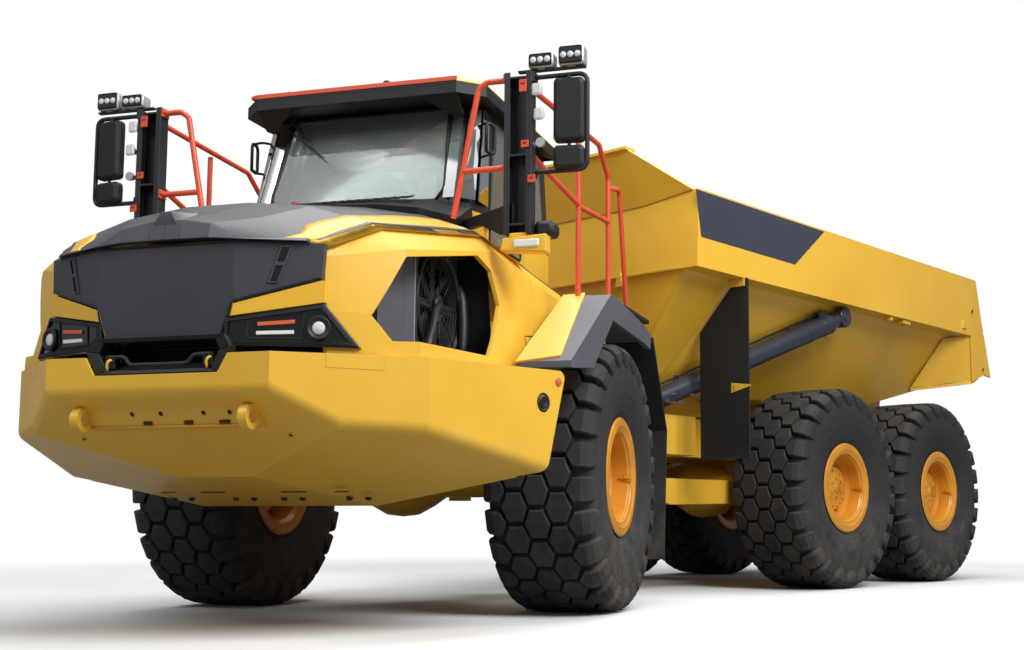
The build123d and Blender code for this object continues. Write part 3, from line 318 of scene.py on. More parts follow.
floor_mesh = bpy.data.meshes.new("studio_floor")
reach = 60.0
floor_mesh.from_pydata([(-reach, -reach, 0), (reach, -reach, 0), (reach, reach, 0), (-reach, reach, 0)],
                       [], [(0, 1, 2, 3)])
floor = bpy.data.objects.new("studio_floor", floor_mesh)
bpy.context.scene.collection.objects.link(floor)
floor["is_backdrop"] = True
floor_paint = bpy.data.materials.new("studio_floor")
floor_paint.use_nodes = True
tree = floor_paint.node_tree
tree.nodes.clear()
matt, glow, blend, out = (tree.nodes.new(kind) for kind in (
    "ShaderNodeBsdfDiffuse", "ShaderNodeEmission", "ShaderNodeMixShader", "ShaderNodeOutputMaterial"))
coord, length, fade = (tree.nodes.new(kind) for kind in (
    "ShaderNodeTexCoord", "ShaderNodeVectorMath", "ShaderNodeMapRange"))
length.operation = "LENGTH"
fade.interpolation_type = "SMOOTHSTEP"
fade.inputs["From Min"].default_value, fade.inputs["From Max"].default_value = 5.0, 12.0
wire(tree, coord, "Object", length, 0)
wire(tree, length, "Value", fade, "Value")
from_eye = tree.nodes.new("ShaderNodeLightPath")
share, only_seen = tree.nodes.new("ShaderNodeMath"), tree.nodes.new("ShaderNodeMath")
share.operation, only_seen.operation = "MULTIPLY", "MAXIMUM"
wire(tree, from_eye, "Is Camera Ray", only_seen, 0)
wire(tree, from_eye, "Is Transmission Ray", only_seen, 1)
wire(tree, fade, 0, share, 0)
wire(tree, only_seen, 0, share, 1)
wire(tree, share, 0, blend, 0)
bounce, tint = tree.nodes.new("ShaderNodeMapRange"), tree.nodes.new("ShaderNodeCombineColor")
bounce.inputs["To Min"].default_value, bounce.inputs["To Max"].default_value = 0.28, 0.92
wire(tree, only_seen, 0, bounce, "Value")
for channel in range(3):
    wire(tree, bounce, 0, tint, channel)
wire(tree, tint, 0, matt, "Color")
wire(tree, matt, 0, blend, 1)
wire(tree, glow, 0, blend, 2)
wire(tree, blend, 0, out, "Surface")
floor_mesh.materials.append(floor_paint)

# %% [markdown]
# ## Finishes
# New machine paint is nearly even, and what makes it look real is small: a slow drift of tone,
# a fine orange-peel skin, a little dust on whatever faces up, and edges where the coat is thin.
# Two shader groups give that to every painted or moulded finish. The first rounds the edges for
# the light by averaging the surface's direction over a few millimetres, and where that differs
# from the real direction there is an edge, so it is the mask for wear as well. The second lays
# tone, wear and dust over each other. Each material then sets its own colours and amounts.

# %% Edge group
def group(name, takes, gives):
    """Empty shader group with named sockets."""
    made = bpy.data.node_groups.new(name, "ShaderNodeTree")
    for label, kind, value in takes:
        made.interface.new_socket(label, in_out="INPUT", socket_type=kind).default_value = value
    for label, kind in gives:
        made.interface.new_socket(label, in_out="OUTPUT", socket_type=kind)
    start, end = made.nodes.new("NodeGroupInput"), made.nodes.new("NodeGroupOutput")
    return made, start, end


FLOAT, COLOUR, VECTOR = "NodeSocketFloat", "NodeSocketColor", "NodeSocketVector"


def maths(tree, operation, a, b=None, clamp=False):
    """Math node fed by sockets or numbers."""
    node = tree.nodes.new("ShaderNodeMath")
    node.operation, node.use_clamp = operation, clamp
    for i, value in enumerate((a, b)):
        if hasattr(value, "links"):
            tree.links.new(value, node.inputs[i])
        elif value is not None:
            node.inputs[i].default_value = value
    return node.outputs[0]


def mapped(tree, value, low, high, to_low=0.0, to_high=1.0):
    """Value stretched from one range to another, and held there."""
    node = tree.nodes.new("ShaderNodeMapRange")
    tree.links.new(value, node.inputs["Value"])
    for label, number in (("From Min", low), ("From Max", high), ("To Min", to_low), ("To Max", to_high)):
        node.inputs[label].default_value = number
    return node.outputs["Result"]


def noise(tree, coord, scale, detail=3.0, rough=0.55):
    """Noise over the piece's own coordinates."""
    node = tree.nodes.new("ShaderNodeTexNoise")
    tree.links.new(coord, node.inputs["Vector"])
    if hasattr(scale, "links"):
        tree.links.new(scale, node.inputs["Scale"])
    else:
        node.inputs["Scale"].default_value = scale
    node.inputs["Detail"].default_value, node.inputs["Roughness"].default_value = detail, rough
    return node.outputs["Fac"]


def mixed(tree, share, a, b):
    """Colour a with b over it by a share."""
    node = tree.nodes.new("ShaderNodeMix")
    node.data_type = "RGBA"
    for label, value in ((0, share), (6, a), (7, b)):
        if hasattr(value, "links"):
            tree.links.new(value, node.inputs[label])
        else:
            node.inputs[label].default_value = value
    return node.outputs[2]


edge_group, start, end = group("rounded edges", [("Radius", FLOAT, 0.006)],
                               [("Normal", VECTOR), ("Edge", FLOAT)])
soft = edge_group.nodes.new("ShaderNodeBevel")
soft.samples = 4
geometry = edge_group.nodes.new("ShaderNodeNewGeometry")
facing = edge_group.nodes.new("ShaderNodeVectorMath")
facing.operation = "DOT_PRODUCT"
wire(edge_group, start, "Radius", soft, "Radius")
wire(edge_group, soft, "Normal", facing, 0)
wire(edge_group, geometry, "Normal", facing, 1)
wire(edge_group, soft, "Normal", end, "Normal")
edge_group.links.new(mapped(edge_group, facing.outputs["Value"], 0.995, 0.9), end.inputs["Edge"])
print("group:", edge_group.name)

# %% Coat group
coat_group, start, end = group(
    "worn coat",
    [("Colour", COLOUR, (0.8, 0.5, 0.1, 1)), ("Deep", COLOUR, (0.6, 0.35, 0.05, 1)),
     ("Bare", COLOUR, (0.2, 0.2, 0.2, 1)), ("Dust", COLOUR, (0.45, 0.38, 0.30, 1)), ("Edge", FLOAT, 0.0),
     ("Wear", FLOAT, 0.3), ("Dust amount", FLOAT, 0.15), ("Mottle", FLOAT, 1.2), ("Roughness", FLOAT, 0.4),
     ("Spread", FLOAT, 0.12), ("Grain", FLOAT, 120.0)],
    [("Colour", COLOUR), ("Roughness", FLOAT), ("Height", FLOAT)])
tree = coat_group
place = tree.nodes.new("ShaderNodeTexCoord").outputs["Object"]
geometry = tree.nodes.new("ShaderNodeNewGeometry")
split_normal, split_place = tree.nodes.new("ShaderNodeSeparateXYZ"), tree.nodes.new("ShaderNodeSeparateXYZ")
wire(tree, geometry, "Normal", split_normal, 0)
tree.links.new(place, split_place.inputs[0])
drift = mapped(tree, noise(tree, place, start.outputs["Mottle"]), 0.35, 0.68)
speck = noise(tree, place, 26.0, 6.0, 0.7)
grime = noise(tree, place, 5.0, 8.0, 0.72)
tone = mixed(tree, maths(tree, "MULTIPLY", drift, 0.55), start.outputs["Colour"], start.outputs["Deep"])
near_edge = maths(tree, "MULTIPLY", start.outputs["Edge"], 0.22)
chips = mapped(tree, maths(tree, "ADD", speck, near_edge), 0.60, 0.66)
chipped = maths(tree, "MULTIPLY", maths(tree, "MULTIPLY", chips, start.outputs["Edge"]),
                start.outputs["Wear"], True)
worn = mixed(tree, chipped, tone, start.outputs["Bare"])
lying = mapped(tree, split_normal.outputs["Z"], 0.35, 0.95)
splash = mapped(tree, split_place.outputs["Z"], 1.3, 0.1)
settled = maths(tree, "MAXIMUM", lying, splash)
patchy = maths(tree, "MULTIPLY", settled, mapped(tree, grime, 0.35, 0.7))
dusty = maths(tree, "MULTIPLY", patchy, start.outputs["Dust amount"], True)
tree.links.new(mixed(tree, dusty, worn, start.outputs["Dust"]), end.inputs["Colour"])
shift = maths(tree, "MULTIPLY", maths(tree, "SUBTRACT", grime, 0.5), start.outputs["Spread"])
rough = maths(tree, "ADD", maths(tree, "ADD", start.outputs["Roughness"], shift),
              maths(tree, "MULTIPLY", dusty, 0.4), True)
tree.links.new(rough, end.inputs["Roughness"])
skin = noise(tree, place, start.outputs["Grain"], 2.0, 0.5)
tree.links.new(maths(tree, "SUBTRACT", skin, maths(tree, "MULTIPLY", chipped, 0.6)), end.inputs["Height"])
print("group:", coat_group.name)


# %% [markdown]
# The materials share one recipe and differ in numbers, so they are a table. Values that are the
# same all over a surface, such as coat or metal, go straight on the shader's sockets.

# %% Painted and moulded finishes
def rgb(text):
    """Linear colour from a six digit sRGB code."""
    parts = [int(text[i:i + 2], 16) / 255 for i in (0, 2, 4)]
    return tuple(c / 12.92 if c <= 0.04045 else ((c + 0.055) / 1.055) ** 2.4 for c in parts) + (1.0,)


def finish(name, colour, deep, bare, roughness, metal=0.0, coat=0.0, wear=0.3, dust=0.12, mottle=1.2,
           grain=120.0, bump=0.05, radius=0.006, spread=0.12):
    """Material made of the edge group and the coat group."""
    material = bpy.data.materials.new(name)
    material.use_nodes = True
    tree = material.node_tree
    shader = tree.nodes["Principled BSDF"]
    edges, layers, relief = (tree.nodes.new(kind) for kind in (
        "ShaderNodeGroup", "ShaderNodeGroup", "ShaderNodeBump"))
    edges.node_tree, layers.node_tree = edge_group, coat_group
    edges.inputs["Radius"].default_value = radius
    for label, value in (("Colour", rgb(colour)), ("Deep", rgb(deep)), ("Bare", rgb(bare)), ("Wear", wear),
                         ("Dust amount", dust), ("Mottle", mottle), ("Roughness", roughness),
                         ("Spread", spread), ("Grain", grain)):
        layers.inputs[label].default_value = value
    relief.inputs["Strength"].default_value, relief.inputs["Distance"].default_value = bump, 0.004
    wire(tree, edges, "Edge", layers, "Edge")
    wire(tree, edges, "Normal", relief, "Normal")
    wire(tree, layers, "Height", relief, "Height")
    wire(tree, layers, "Colour", shader, "Base Color")
    wire(tree, layers, "Roughness", shader, "Roughness")
    wire(tree, relief, "Normal", shader, "Normal")
    shader.inputs["Metallic"].default_value = metal
    shader.inputs["Coat Weight"].default_value = coat
    shader.inputs["Coat Roughness"].default_value = 0.15
    return material


yellow = finish("yellow_paint", "F6C23C", "E9AE2B", "7A5A20", 0.42, coat=0.25, wear=0.35, dust=0.10,
                bump=0.04)
charcoal = finish("charcoal_paint", "43444B", "393A41", "6A6A6E", 0.46, coat=0.15, wear=0.4, dust=0.16,
                  bump=0.06)
fender_grey = finish("fender_grey", "5D5F69", "50525B", "3A3A3E", 0.5, wear=0.25, dust=0.14, bump=0.10,
                     grain=200.0)
decal_blue = finish("decal_film", "3A3F4D", "343946", "8A8A88", 0.38, coat=0.2, wear=0.1, dust=0.06,
                    bump=0.02)
rail_red = finish("rail_paint", "E2532F", "CC4427", "8A4630", 0.44, coat=0.2, wear=0.4, dust=0.08, bump=0.05,
                  mottle=3.0)
black_metal = finish("black_metal", "1E1F22", "17181B", "55565A", 0.5, wear=0.35, dust=0.10, bump=0.08)
black_plastic = finish("black_plastic", "141518", "0F1012", "2C2D30", 0.55, wear=0.2, dust=0.07, bump=0.20,
                       grain=300.0, radius=0.004)
gloss_black = finish("gloss_black", "121317", "0D0E11", "2A2A2C", 0.18, coat=0.6, wear=0.1, dust=0.06,
                     bump=0.01)
rubber = finish("tyre_rubber", "2A2B2D", "212224", "3A3937", 0.78, wear=0.5, dust=0.22, mottle=2.5, bump=0.25,
                grain=90.0, radius=0.003, spread=0.2)
flap = finish("flap_rubber", "1E1F21", "18191B", "3A3A3A", 0.7, wear=0.3, dust=0.25, mottle=1.6, bump=0.15,
              grain=60.0)
iron = finish("engine_iron", "33353A", "26282C", "6B6A68", 0.6, wear=0.35, dust=0.2, bump=0.2, grain=80.0)
hydraulic = finish("hydraulic_enamel", "343A48", "2B303C", "6E7076", 0.36, coat=0.25, wear=0.3, dust=0.10,
                   bump=0.05)
chrome = finish("rod_chrome", "C9CBCF", "B4B6BA", "8E8E90", 0.16, metal=1.0, wear=0.1, dust=0.04, bump=0.01,
                spread=0.08)
zinc = finish("zinc_steel", "A9A79F", "8F8D86", "6A6862", 0.38, metal=1.0, wear=0.3, dust=0.15, bump=0.08,
              radius=0.002)
trim = finish("cab_trim", "4A504F", "3D4342", "5F6462", 0.75, wear=0.1, dust=0.1, bump=0.25, grain=240.0)
seat_cloth = finish("seat_cloth", "3D4443", "343A39", "565B59", 0.88, wear=0.1, dust=0.08, bump=0.45,
                    grain=520.0)
rim_gold = finish("rim_paint", "EBA02A", "BE7A1C", "7A5A20", 0.40, coat=0.25, wear=0.35, dust=0.12,
                  mottle=3.0, bump=0.04)
silver = finish("silver_shell", "B9BBBF", "A5A7AB", "77787A", 0.35, metal=0.4, wear=0.2, dust=0.1, bump=0.03)
print("finishes:", len(bpy.data.materials))

# %% [markdown]
# Glass is a clear shell with a green-grey tint, under a pale matte layer that is a painted
# reflection of the sky. It lets the lamps through to the cab, so it mixes a transparent shader
# with gloss by Fresnel instead of bending light, which a thin flat pane hardly does. Lenses are
# moulded plastic with fine flutes, shaded in painted stripes along them, and a faint painted glow
# stands in for a bright reflector behind them. Most finishes always go with the same slot of the
# CAD model, so a table holds those pairs.


# %% Glass and lenses
def glass(name, tint, gloss=0.04, body=0.24, reflection_tint="C6D0CE"):
    """Thin pane: tinted see-through with a sharp reflection that grows at a slant, under a pale matte layer
    of painted reflection whose share, body, drifts over the pane.
    """
    material = bpy.data.materials.new(name)
    material.use_nodes = True
    tree = material.node_tree
    tree.nodes.clear()
    clear, shine, painted_reflection = (tree.nodes.new(kind) for kind in (
        "ShaderNodeBsdfTransparent", "ShaderNodeBsdfGlossy", "ShaderNodeBsdfDiffuse"))
    first, second, out = (tree.nodes.new(kind) for kind in (
        "ShaderNodeMixShader", "ShaderNodeMixShader", "ShaderNodeOutputMaterial"))
    place = tree.nodes.new("ShaderNodeTexCoord").outputs["Object"]
    # The pale matte layer is a painted reflection of the sky, and its share drifts over the pane.
    reflection_amount = mapped(tree, noise(tree, place, 1.4, 5.0, 0.65), 0.3, 0.75, body * 0.7, body * 1.3)
    fresnel = tree.nodes.new("ShaderNodeFresnel")
    fresnel.inputs["IOR"].default_value = 1.45
    clear.inputs["Color"].default_value = tint
    painted_reflection.inputs["Color"].default_value = rgb(reflection_tint)
    shine.inputs["Roughness"].default_value = gloss
    tree.links.new(reflection_amount, first.inputs[0])
    wire(tree, clear, 0, first, 1)
    wire(tree, painted_reflection, 0, first, 2)
    wire(tree, fresnel, 0, second, 0)
    wire(tree, first, 0, second, 1)
    wire(tree, shine, 0, second, 2)
    wire(tree, second, 0, out, "Surface")
    return material


def lens_plastic(name, colour, glow=0.0, flutes=140.0):
    """Moulded lens: glossy colour with fine flutes that are shaded in painted stripes, and a faint painted
    glow of its own that stands in for a bright reflector behind it.
    """
    material = bpy.data.materials.new(name)
    material.use_nodes = True
    tree = material.node_tree
    shader = tree.nodes["Principled BSDF"]
    place = tree.nodes.new("ShaderNodeTexCoord").outputs["Object"]
    wave = tree.nodes.new("ShaderNodeTexWave")
    wave.bands_direction = "Z"
    wave.inputs["Scale"].default_value = flutes
    tree.links.new(place, wave.inputs["Vector"])
    relief = tree.nodes.new("ShaderNodeBump")
    relief.inputs["Strength"].default_value, relief.inputs["Distance"].default_value = 0.4, 0.002
    wire(tree, wave, "Fac", relief, "Height")
    wire(tree, relief, "Normal", shader, "Normal")
    # The darker copy of the colour, laid in stripes along the flutes, is painted shade.
    flute_shade_colour = tuple(c * 0.72 for c in colour[:3]) + (1.0,)
    shade = mixed(tree, wave.outputs["Fac"], colour, flute_shade_colour)
    tree.links.new(shade, shader.inputs["Base Color"])
    tree.links.new(shade, shader.inputs["Emission Color"])
    # The glow is painted light: every lens shines a little, whether its lamp is lit or not.
    shader.inputs["Emission Strength"].default_value = glow
    tree.links.new(mapped(tree, noise(tree, place, 30.0), 0.3, 0.7, 0.10, 0.22), shader.inputs["Roughness"])
    shader.inputs["Coat Weight"].default_value = 0.5
    return material


cab_pane = glass("cab_glass", (0.80, 0.88, 0.86, 1))
# The corner panes are almost wholly painted reflection: a dark grey-green matte layer with little seen
# through it.
corner_pane = glass("corner_glass", (0.80, 0.88, 0.86, 1), body=0.94, reflection_tint="6C7877")
# Every lens glows faintly, as painted light for a bright reflector, the red filler cap and the orange bumper
# reflectors too.
lens_clear = lens_plastic("lens_clear", rgb("DDE2E6"), 0.15)
lens_white = lens_plastic("lens_white", rgb("E9ECEE"), 0.2)
lens_orange = lens_plastic("lens_orange", rgb("E8653A"), 0.1)
lens_red = lens_plastic("lens_red", rgb("B5191C"), 0.05)
mirror_glass = finish("mirror_glass", "C4C9CE", "B9BEC3", "9A9A9A", 0.05, metal=1.0, wear=0.05, dust=0.04,
                      bump=0.0, spread=0.03)
print("materials:", len(bpy.data.materials))

# %% [markdown]
# ## The CAD nodes
# Each node keeps its mesh and gets a finish. The cab's shell is one solid, but its pillars are
# dark above the window line and its skirt is yellow, so its material picks one of two coats by
# height, and the door's leaf has the same one.


# %% Two coats on one solid
def two_coats(name, upper, lower, height):
    """Copy of a finish whose colours change at a height above the ground."""
    material = upper.copy()
    material.name = name
    tree = material.node_tree
    layers = next(n for n in tree.nodes if n.type == "GROUP" and n.node_tree == coat_group)
    other = next(n for n in lower.node_tree.nodes if n.type == "GROUP" and n.node_tree == coat_group)
    place, split_place = tree.nodes.new("ShaderNodeTexCoord"), tree.nodes.new("ShaderNodeSeparateXYZ")
    wire(tree, place, "Object", split_place, 0)
    above_line = maths(tree, "GREATER_THAN", split_place.outputs["Z"], height)
    for label in ("Colour", "Deep", "Bare"):
        tree.links.new(mixed(tree, above_line, tuple(other.inputs[label].default_value),
                             tuple(layers.inputs[label].default_value)), layers.inputs[label])
    return material


cab_coats = two_coats("cab_coats", black_metal, yellow, 2.715)
node_finish = {
    yellow: ["bogie_beams", "bumper", "cab_roof", "dump_body", "front_axle", "hitch", "hood_sides",
             "rear_axles", "rear_frame", "front_frame"],
    charcoal: ["hood_top", "nose_panel"],
    fender_grey: ["fenders"],
    cab_coats: ["cab_shell", "cab_door"],
    cab_pane: ["cab_glass", "door_glass"],
    trim: ["cab_interior"],
    iron: ["engine"],
    rail_red: ["handrails"],
    black_metal: ["masts", "platform"],
    gloss_black: ["headlamps"],
    flap: ["mud_flaps", "mudguards"],
    hydraulic: ["hoist_barrel_left", "hoist_barrel_right", "steering_barrel_left", "steering_barrel_right"],
    chrome: ["hoist_rod_left", "hoist_rod_right", "steering_rod_left", "steering_rod_right"],
    rubber: [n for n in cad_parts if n.startswith("tyre_")],
    rim_gold: [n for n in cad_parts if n.startswith("rim_")],
}
for material, names in node_finish.items():
    for name in names:
        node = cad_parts[name]
        for part in node.material_slots:
            part.material = material
print("nodes finished:", sum(len(names) for names in node_finish.values()), "of", len(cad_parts))

# %% [markdown]
# ## Tyres
# A rock tyre has a honeycomb of deep blocks with bars that wrap the shoulders. Such a tread is
# too fine for the solid, so one tyre is drawn here as a mesh: a turned casing with rings on its
# sidewall, then one pitch of the tread, repeated 26 times. A block is drawn flat, as distance
# round the tyre, distance across it and height, and bent to the tyre's radius by its angle.

# %% Tyre mesh
TYRE_RADIUS, TYRE_HALF, CASING_RADIUS = 0.9375, 0.380, 0.8855
PITCHES = 26
PITCH = 2 * math.pi * TYRE_RADIUS / PITCHES


def on_tyre(across, along_tread, radius):
    """Point of the tread: place across the tyre, distance round it, radius."""
    a = along_tread / TYRE_RADIUS
    return Vector((across, -math.sin(a) * radius, math.cos(a) * radius))


def block(outline, top, centre, chamfer=0.009, flare=0.007, foot=CASING_RADIUS - 0.012):
    """Tread block over a flat outline, with a chamfered top and a root that flares."""
    cross_c, round_c = centre
    rings = []
    for scale, radius in ((flare, foot), (0.0, top - chamfer), (-chamfer, top)):
        ring = []
        for across, along_tread in outline:
            size = math.hypot(across, along_tread)
            grow = 1 + scale / size
            ring.append(on_tyre(cross_c + across * grow, round_c + along_tread * grow, radius))
        rings.append(ring)
    n = len(outline)
    verts = [v for ring in rings for v in ring] + [on_tyre(cross_c, round_c, top)]
    return verts, ring_faces(3, n) + [[2 * n + i, 2 * n + (i + 1) % n, 3 * n] for i in range(n)]


def shoulder_bar(side, round_c):
    """Bar that starts between two blocks and wraps over the shoulder."""
    stations = [
        # across, top radius, half length round the tyre
        (0.214, 0.9355, 0.018), (0.252, 0.9350, 0.078), (0.300, 0.9315, 0.080), (0.345, 0.9080, 0.082),
        (0.372, 0.8720, 0.080), (0.381, 0.8250, 0.070), (0.377, 0.7800, 0.050), (0.366, 0.7620, 0.034),
    ]
    verts = []
    for k, (across, top, half) in enumerate(stations):
        deep = (0.045, 0.060, 0.060, 0.058, 0.050, 0.040, 0.030, 0.016)[k]
        slope = min(1.0, max(0.0, (across - 0.30) / 0.08))
        low_r, low_x = top - deep * (1 - slope * 0.75), across - deep * slope * 0.8
        edge = 0.008
        for x, r, h in ((low_x, low_r, half + 0.006),
                        (across - edge * slope, top - edge * (1 - slope), half), (across, top, half - edge)):
            verts += [on_tyre(side * x, round_c + h, r), on_tyre(side * x, round_c - h, r)]
    faces = []
    for k in range(len(stations) - 1):
        a, b = 6 * k, 6 * (k + 1)
        for i, j in ((0, 2), (2, 4), (4, 5), (5, 3), (3, 1)):
            faces.append([a + i, a + j, b + j, b + i])
    last = 6 * (len(stations) - 1)
    faces += [[0, 1, 3, 5, 4, 2], [last + i for i in (2, 4, 5, 3, 1, 0)]]
    return verts, faces if side > 0 else [face[::-1] for face in faces]


def arc(a, b, c, steps):
    """Points on the circle through a, b and c."""
    (ax, ay), (bx, by), (cx, cy) = a, b, c
    d = 2 * (ax * (by - cy) + bx * (cy - ay) + cx * (ay - by))
    aa, bb, cc = ax * ax + ay * ay, bx * bx + by * by, cx * cx + cy * cy
    ux = (aa * (by - cy) + bb * (cy - ay) + cc * (ay - by)) / d
    uy = (aa * (cx - bx) + bb * (ax - cx) + cc * (bx - ax)) / d
    radius = math.hypot(ax - ux, ay - uy)
    first, last = math.atan2(ay - uy, ax - ux), math.atan2(cy - uy, cx - ux)
    return [(ux + radius * math.cos(first + (last - first) * k / steps),
             uy + radius * math.sin(first + (last - first) * k / steps)) for k in range(steps + 1)]


wall = arc((0.350, 0.8275), (TYRE_HALF, 0.640), (0.318, 0.424), 40)
rings_on_wall = [
    # radius, half width, how far it stands out
    (0.745, 0.004, 0.003), (0.700, 0.003, 0.003), (0.590, 0.016, 0.0035), (0.520, 0.004, 0.003),
    (0.470, 0.010, 0.005), (0.443, 0.004, 0.003),
]


def ring_height(radius):
    """How far the rings stand out of the sidewall at a radius."""
    return sum(high * max(0.0, 1 - abs(radius - at) / (wide + 0.004)) for at, wide, high in rings_on_wall)


sidewall = [(min(x + ring_height(r), TYRE_HALF), r) for x, r in wall]
half_casing = [(0.0, CASING_RADIUS), (0.24, CASING_RADIUS - 0.004), (0.30, CASING_RADIUS - 0.012)] + sidewall
half_casing += [(0.315, 0.3225), (0.248, 0.3225), (0.332, 0.640), (0.28, CASING_RADIUS - 0.036)]
casing = half_casing + [(-x, r) for x, r in reversed(half_casing[1:])]

hexagon_block = [(-0.088, 0.0), (-0.048, -0.097), (0.048, -0.097), (0.088, 0.0), (0.048, 0.097),
                 (-0.048, 0.097)]
tyre = Shape().lathe(casing, (0, 0, 0), X_AXIS, steps=104)
for k in range(PITCHES):
    start_at = k * PITCH
    for across, share in ((0.0, 0.0), (0.148, 0.5), (-0.148, 0.5)):
        tyre.add(*block(hexagon_block, TYRE_RADIUS - abs(across) * 0.01, (across, start_at + share * PITCH)))
    for side in (1, -1):
        tyre.add(*shoulder_bar(side, start_at))
print("tyre:", len(tyre.verts), "points,", PITCHES, "pitches")

# %% [markdown]
# The front tyres rest on a block, and the rear ones are turned a little further, so that the
# six don't look stamped from one. Each is its own object, because it rolls on its own wheel.

# %% Six tyres
AXLES = [("front", 0.0), ("mid", 4.518), ("rear", 4.518 + 1.940)]
TRACK_HALF = 1.318


def wheel_matrix(side, axle_y):
    """From the wheel's own axes, outer side towards +X, to straight coordinates."""
    flip = Matrix.Scale(-1, 4, X_AXIS) if side < 0 else Matrix.Identity(4)
    return Matrix.Translation((side * TRACK_HALF, axle_y, TYRE_RADIUS)) @ flip


for row, axle_y in AXLES:
    for side, word in ((1, "left"), (-1, "right")):
        turned = wheel_matrix(side, axle_y) @ Matrix.Rotation(math.pi + 0.05 * axle_y, 4, "X")
        made = build(f"tread_tyre_{row}_{word}", Shape().merge(tyre, turned), f"wheel_{row}_{word}", rubber)
        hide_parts(f"tyre_{row}_{word}")

# %% [markdown]
# ## Wheels
# The rim is the turned CAD solid. What the eye looks for on it is small: the ring of nuts, the
# planetary hub's own bolts and drain plugs, the lock ring and the valve with its guard. The
# bolts of a wheel are one mesh, because nobody moves one without the others.


# %% Bolts and wheel fastenings
def hex_head(shape, centre, axis, radius, height, sides=6):
    """Bolt head on a washer."""
    washer, low, high = height * 0.25, height * 0.2, height * 0.85
    shape.lathe([(0, 0.0), (0, radius * 1.35), (washer, radius * 1.35), (washer, 0.0)],
                centre, axis, 14, False)
    return shape.lathe([(low, 0.0), (low, radius), (high, radius), (height, radius * 0.82), (height, 0.0)],
                       centre, axis, sides, False)


def turns(count, shift=0.0):
    """Angles that share a full turn equally; the shift is a part of one share."""
    return [2 * math.pi * (k + shift) / count for k in range(count)]


def about_x(along, radius, a):
    """Point on a circle about the X axis."""
    return Vector((along, radius * math.cos(a), radius * math.sin(a)))


fastenings = Shape()
RIM_HALF, FLANGE_THICK, DISC_INSET = 0.318, 0.022, 0.215
DISC_X = RIM_HALF + FLANGE_THICK - DISC_INSET
for count, ring, base, radius, height in [
    # how many, ring radius, where along the axle, bolt radius, height
    (24, 0.247, DISC_X, 0.012, 0.020), (16, 0.168, DISC_X + 0.075, 0.009, 0.012),
    (6, 0.085, DISC_X + 0.092, 0.008, 0.010),
]:
    for a in turns(count, 0.5):
        hex_head(fastenings, about_x(base, ring, a), X_AXIS, radius, height)
fastenings.lathe([(0.094, 0.0), (0.094, 0.052), (0.104, 0.048), (0.104, 0.0)],
                 (DISC_X, 0, 0), X_AXIS, 40, False)
for a in (0.6, 0.6 + math.pi):
    hex_head(fastenings, about_x(DISC_X + 0.080, 0.125, a), X_AXIS, 0.020, 0.016, 8)
inner_ring = Shape()
for a in turns(32):
    hex_head(inner_ring, about_x(DISC_X - 0.032, 0.262, a), -X_AXIS, 0.009, 0.016)
lock_ring = Shape().lathe([(RIM_HALF, 0.352), (0.336, 0.352), (0.343, 0.358), (0.336, 0.366),
                           (RIM_HALF, 0.366)], (0, 0, 0), X_AXIS, 72)
lock_ring.lathe([(0.30, 0.309), (0.325, 0.318), (0.330, 0.326), (RIM_HALF, 0.330)], (0, 0, 0), X_AXIS, 72)
valve = Shape().pipe([(0.230, 0.297, 0.0), (0.270, 0.285, 0.0), (RIM_HALF, 0.288, 0.0)], 0.006, 0.02, 10)
valve.box((0.300, 0.300, 0.0), (0.06, 0.012, 0.05))
for row, axle_y in AXLES:
    for side, word in ((1, "left"), (-1, "right")):
        place = wheel_matrix(side, axle_y)
        body = f"wheel_{row}_{word}"
        bright = Shape().merge(fastenings, place).merge(inner_ring, place)
        build(f"wheel_bolts_{row}_{word}", bright, body, rim_gold)
        build(f"lock_ring_{row}_{word}", Shape().merge(lock_ring, place), body, rim_gold)
        build(f"valve_{row}_{word}", Shape().merge(valve, place), body, rim_gold, bevel=0.002)

# %% [markdown]
# ## Nose
# The nose wall is bent in plan: flat in the middle, then folded back twice on each side. What is
# mounted on it, such as the recess frames, the lamps and the lip under the hood, follows that
# fold. A piece is drawn as an outline seen from the front, and each of its corners takes its
# depth from the wall, so the piece lies on the wall wherever it crosses a fold.

# %% Outlines laid on the nose
FOLDS = [(0.0, -3.030), (0.400, -3.030), (0.822, -2.858), (1.000, -2.7363)]


def along_table(table, at):
    """Value at a place between the rows of a table of pairs."""
    for (a, low), (b, high) in zip(table, table[1:]):
        if at <= b:
            return low + (high - low) * (at - a) / (b - a)
    return table[-1][1]


def nose_y(x):
    """How far forward the nose wall is at x."""
    return along_table(FOLDS, abs(x))


def cut_at_folds(points):
    """Outline with extra corners where it crosses a fold of the wall."""
    result = []
    for (x0, z0), (x1, z1) in zip(points, points[1:] + points[:1]):
        result.append((x0, z0))
        crossings = [s * x for x, _ in FOLDS for s in (1, -1) if min(x0, x1) < s * x < max(x0, x1)]
        for x in sorted(crossings, reverse=x1 < x0):
            result.append((x, z0 + (z1 - z0) * (x - x0) / (x1 - x0)))
    return result


def on_nose(shape, points, out, sunk=0.0):
    """Plate over an outline on the nose wall, standing out by one depth and sunk by another."""
    points = cut_at_folds(points)
    return shape.skin([[(x, nose_y(x) + y, z) for x, z in points] for y in (-out, sunk)])


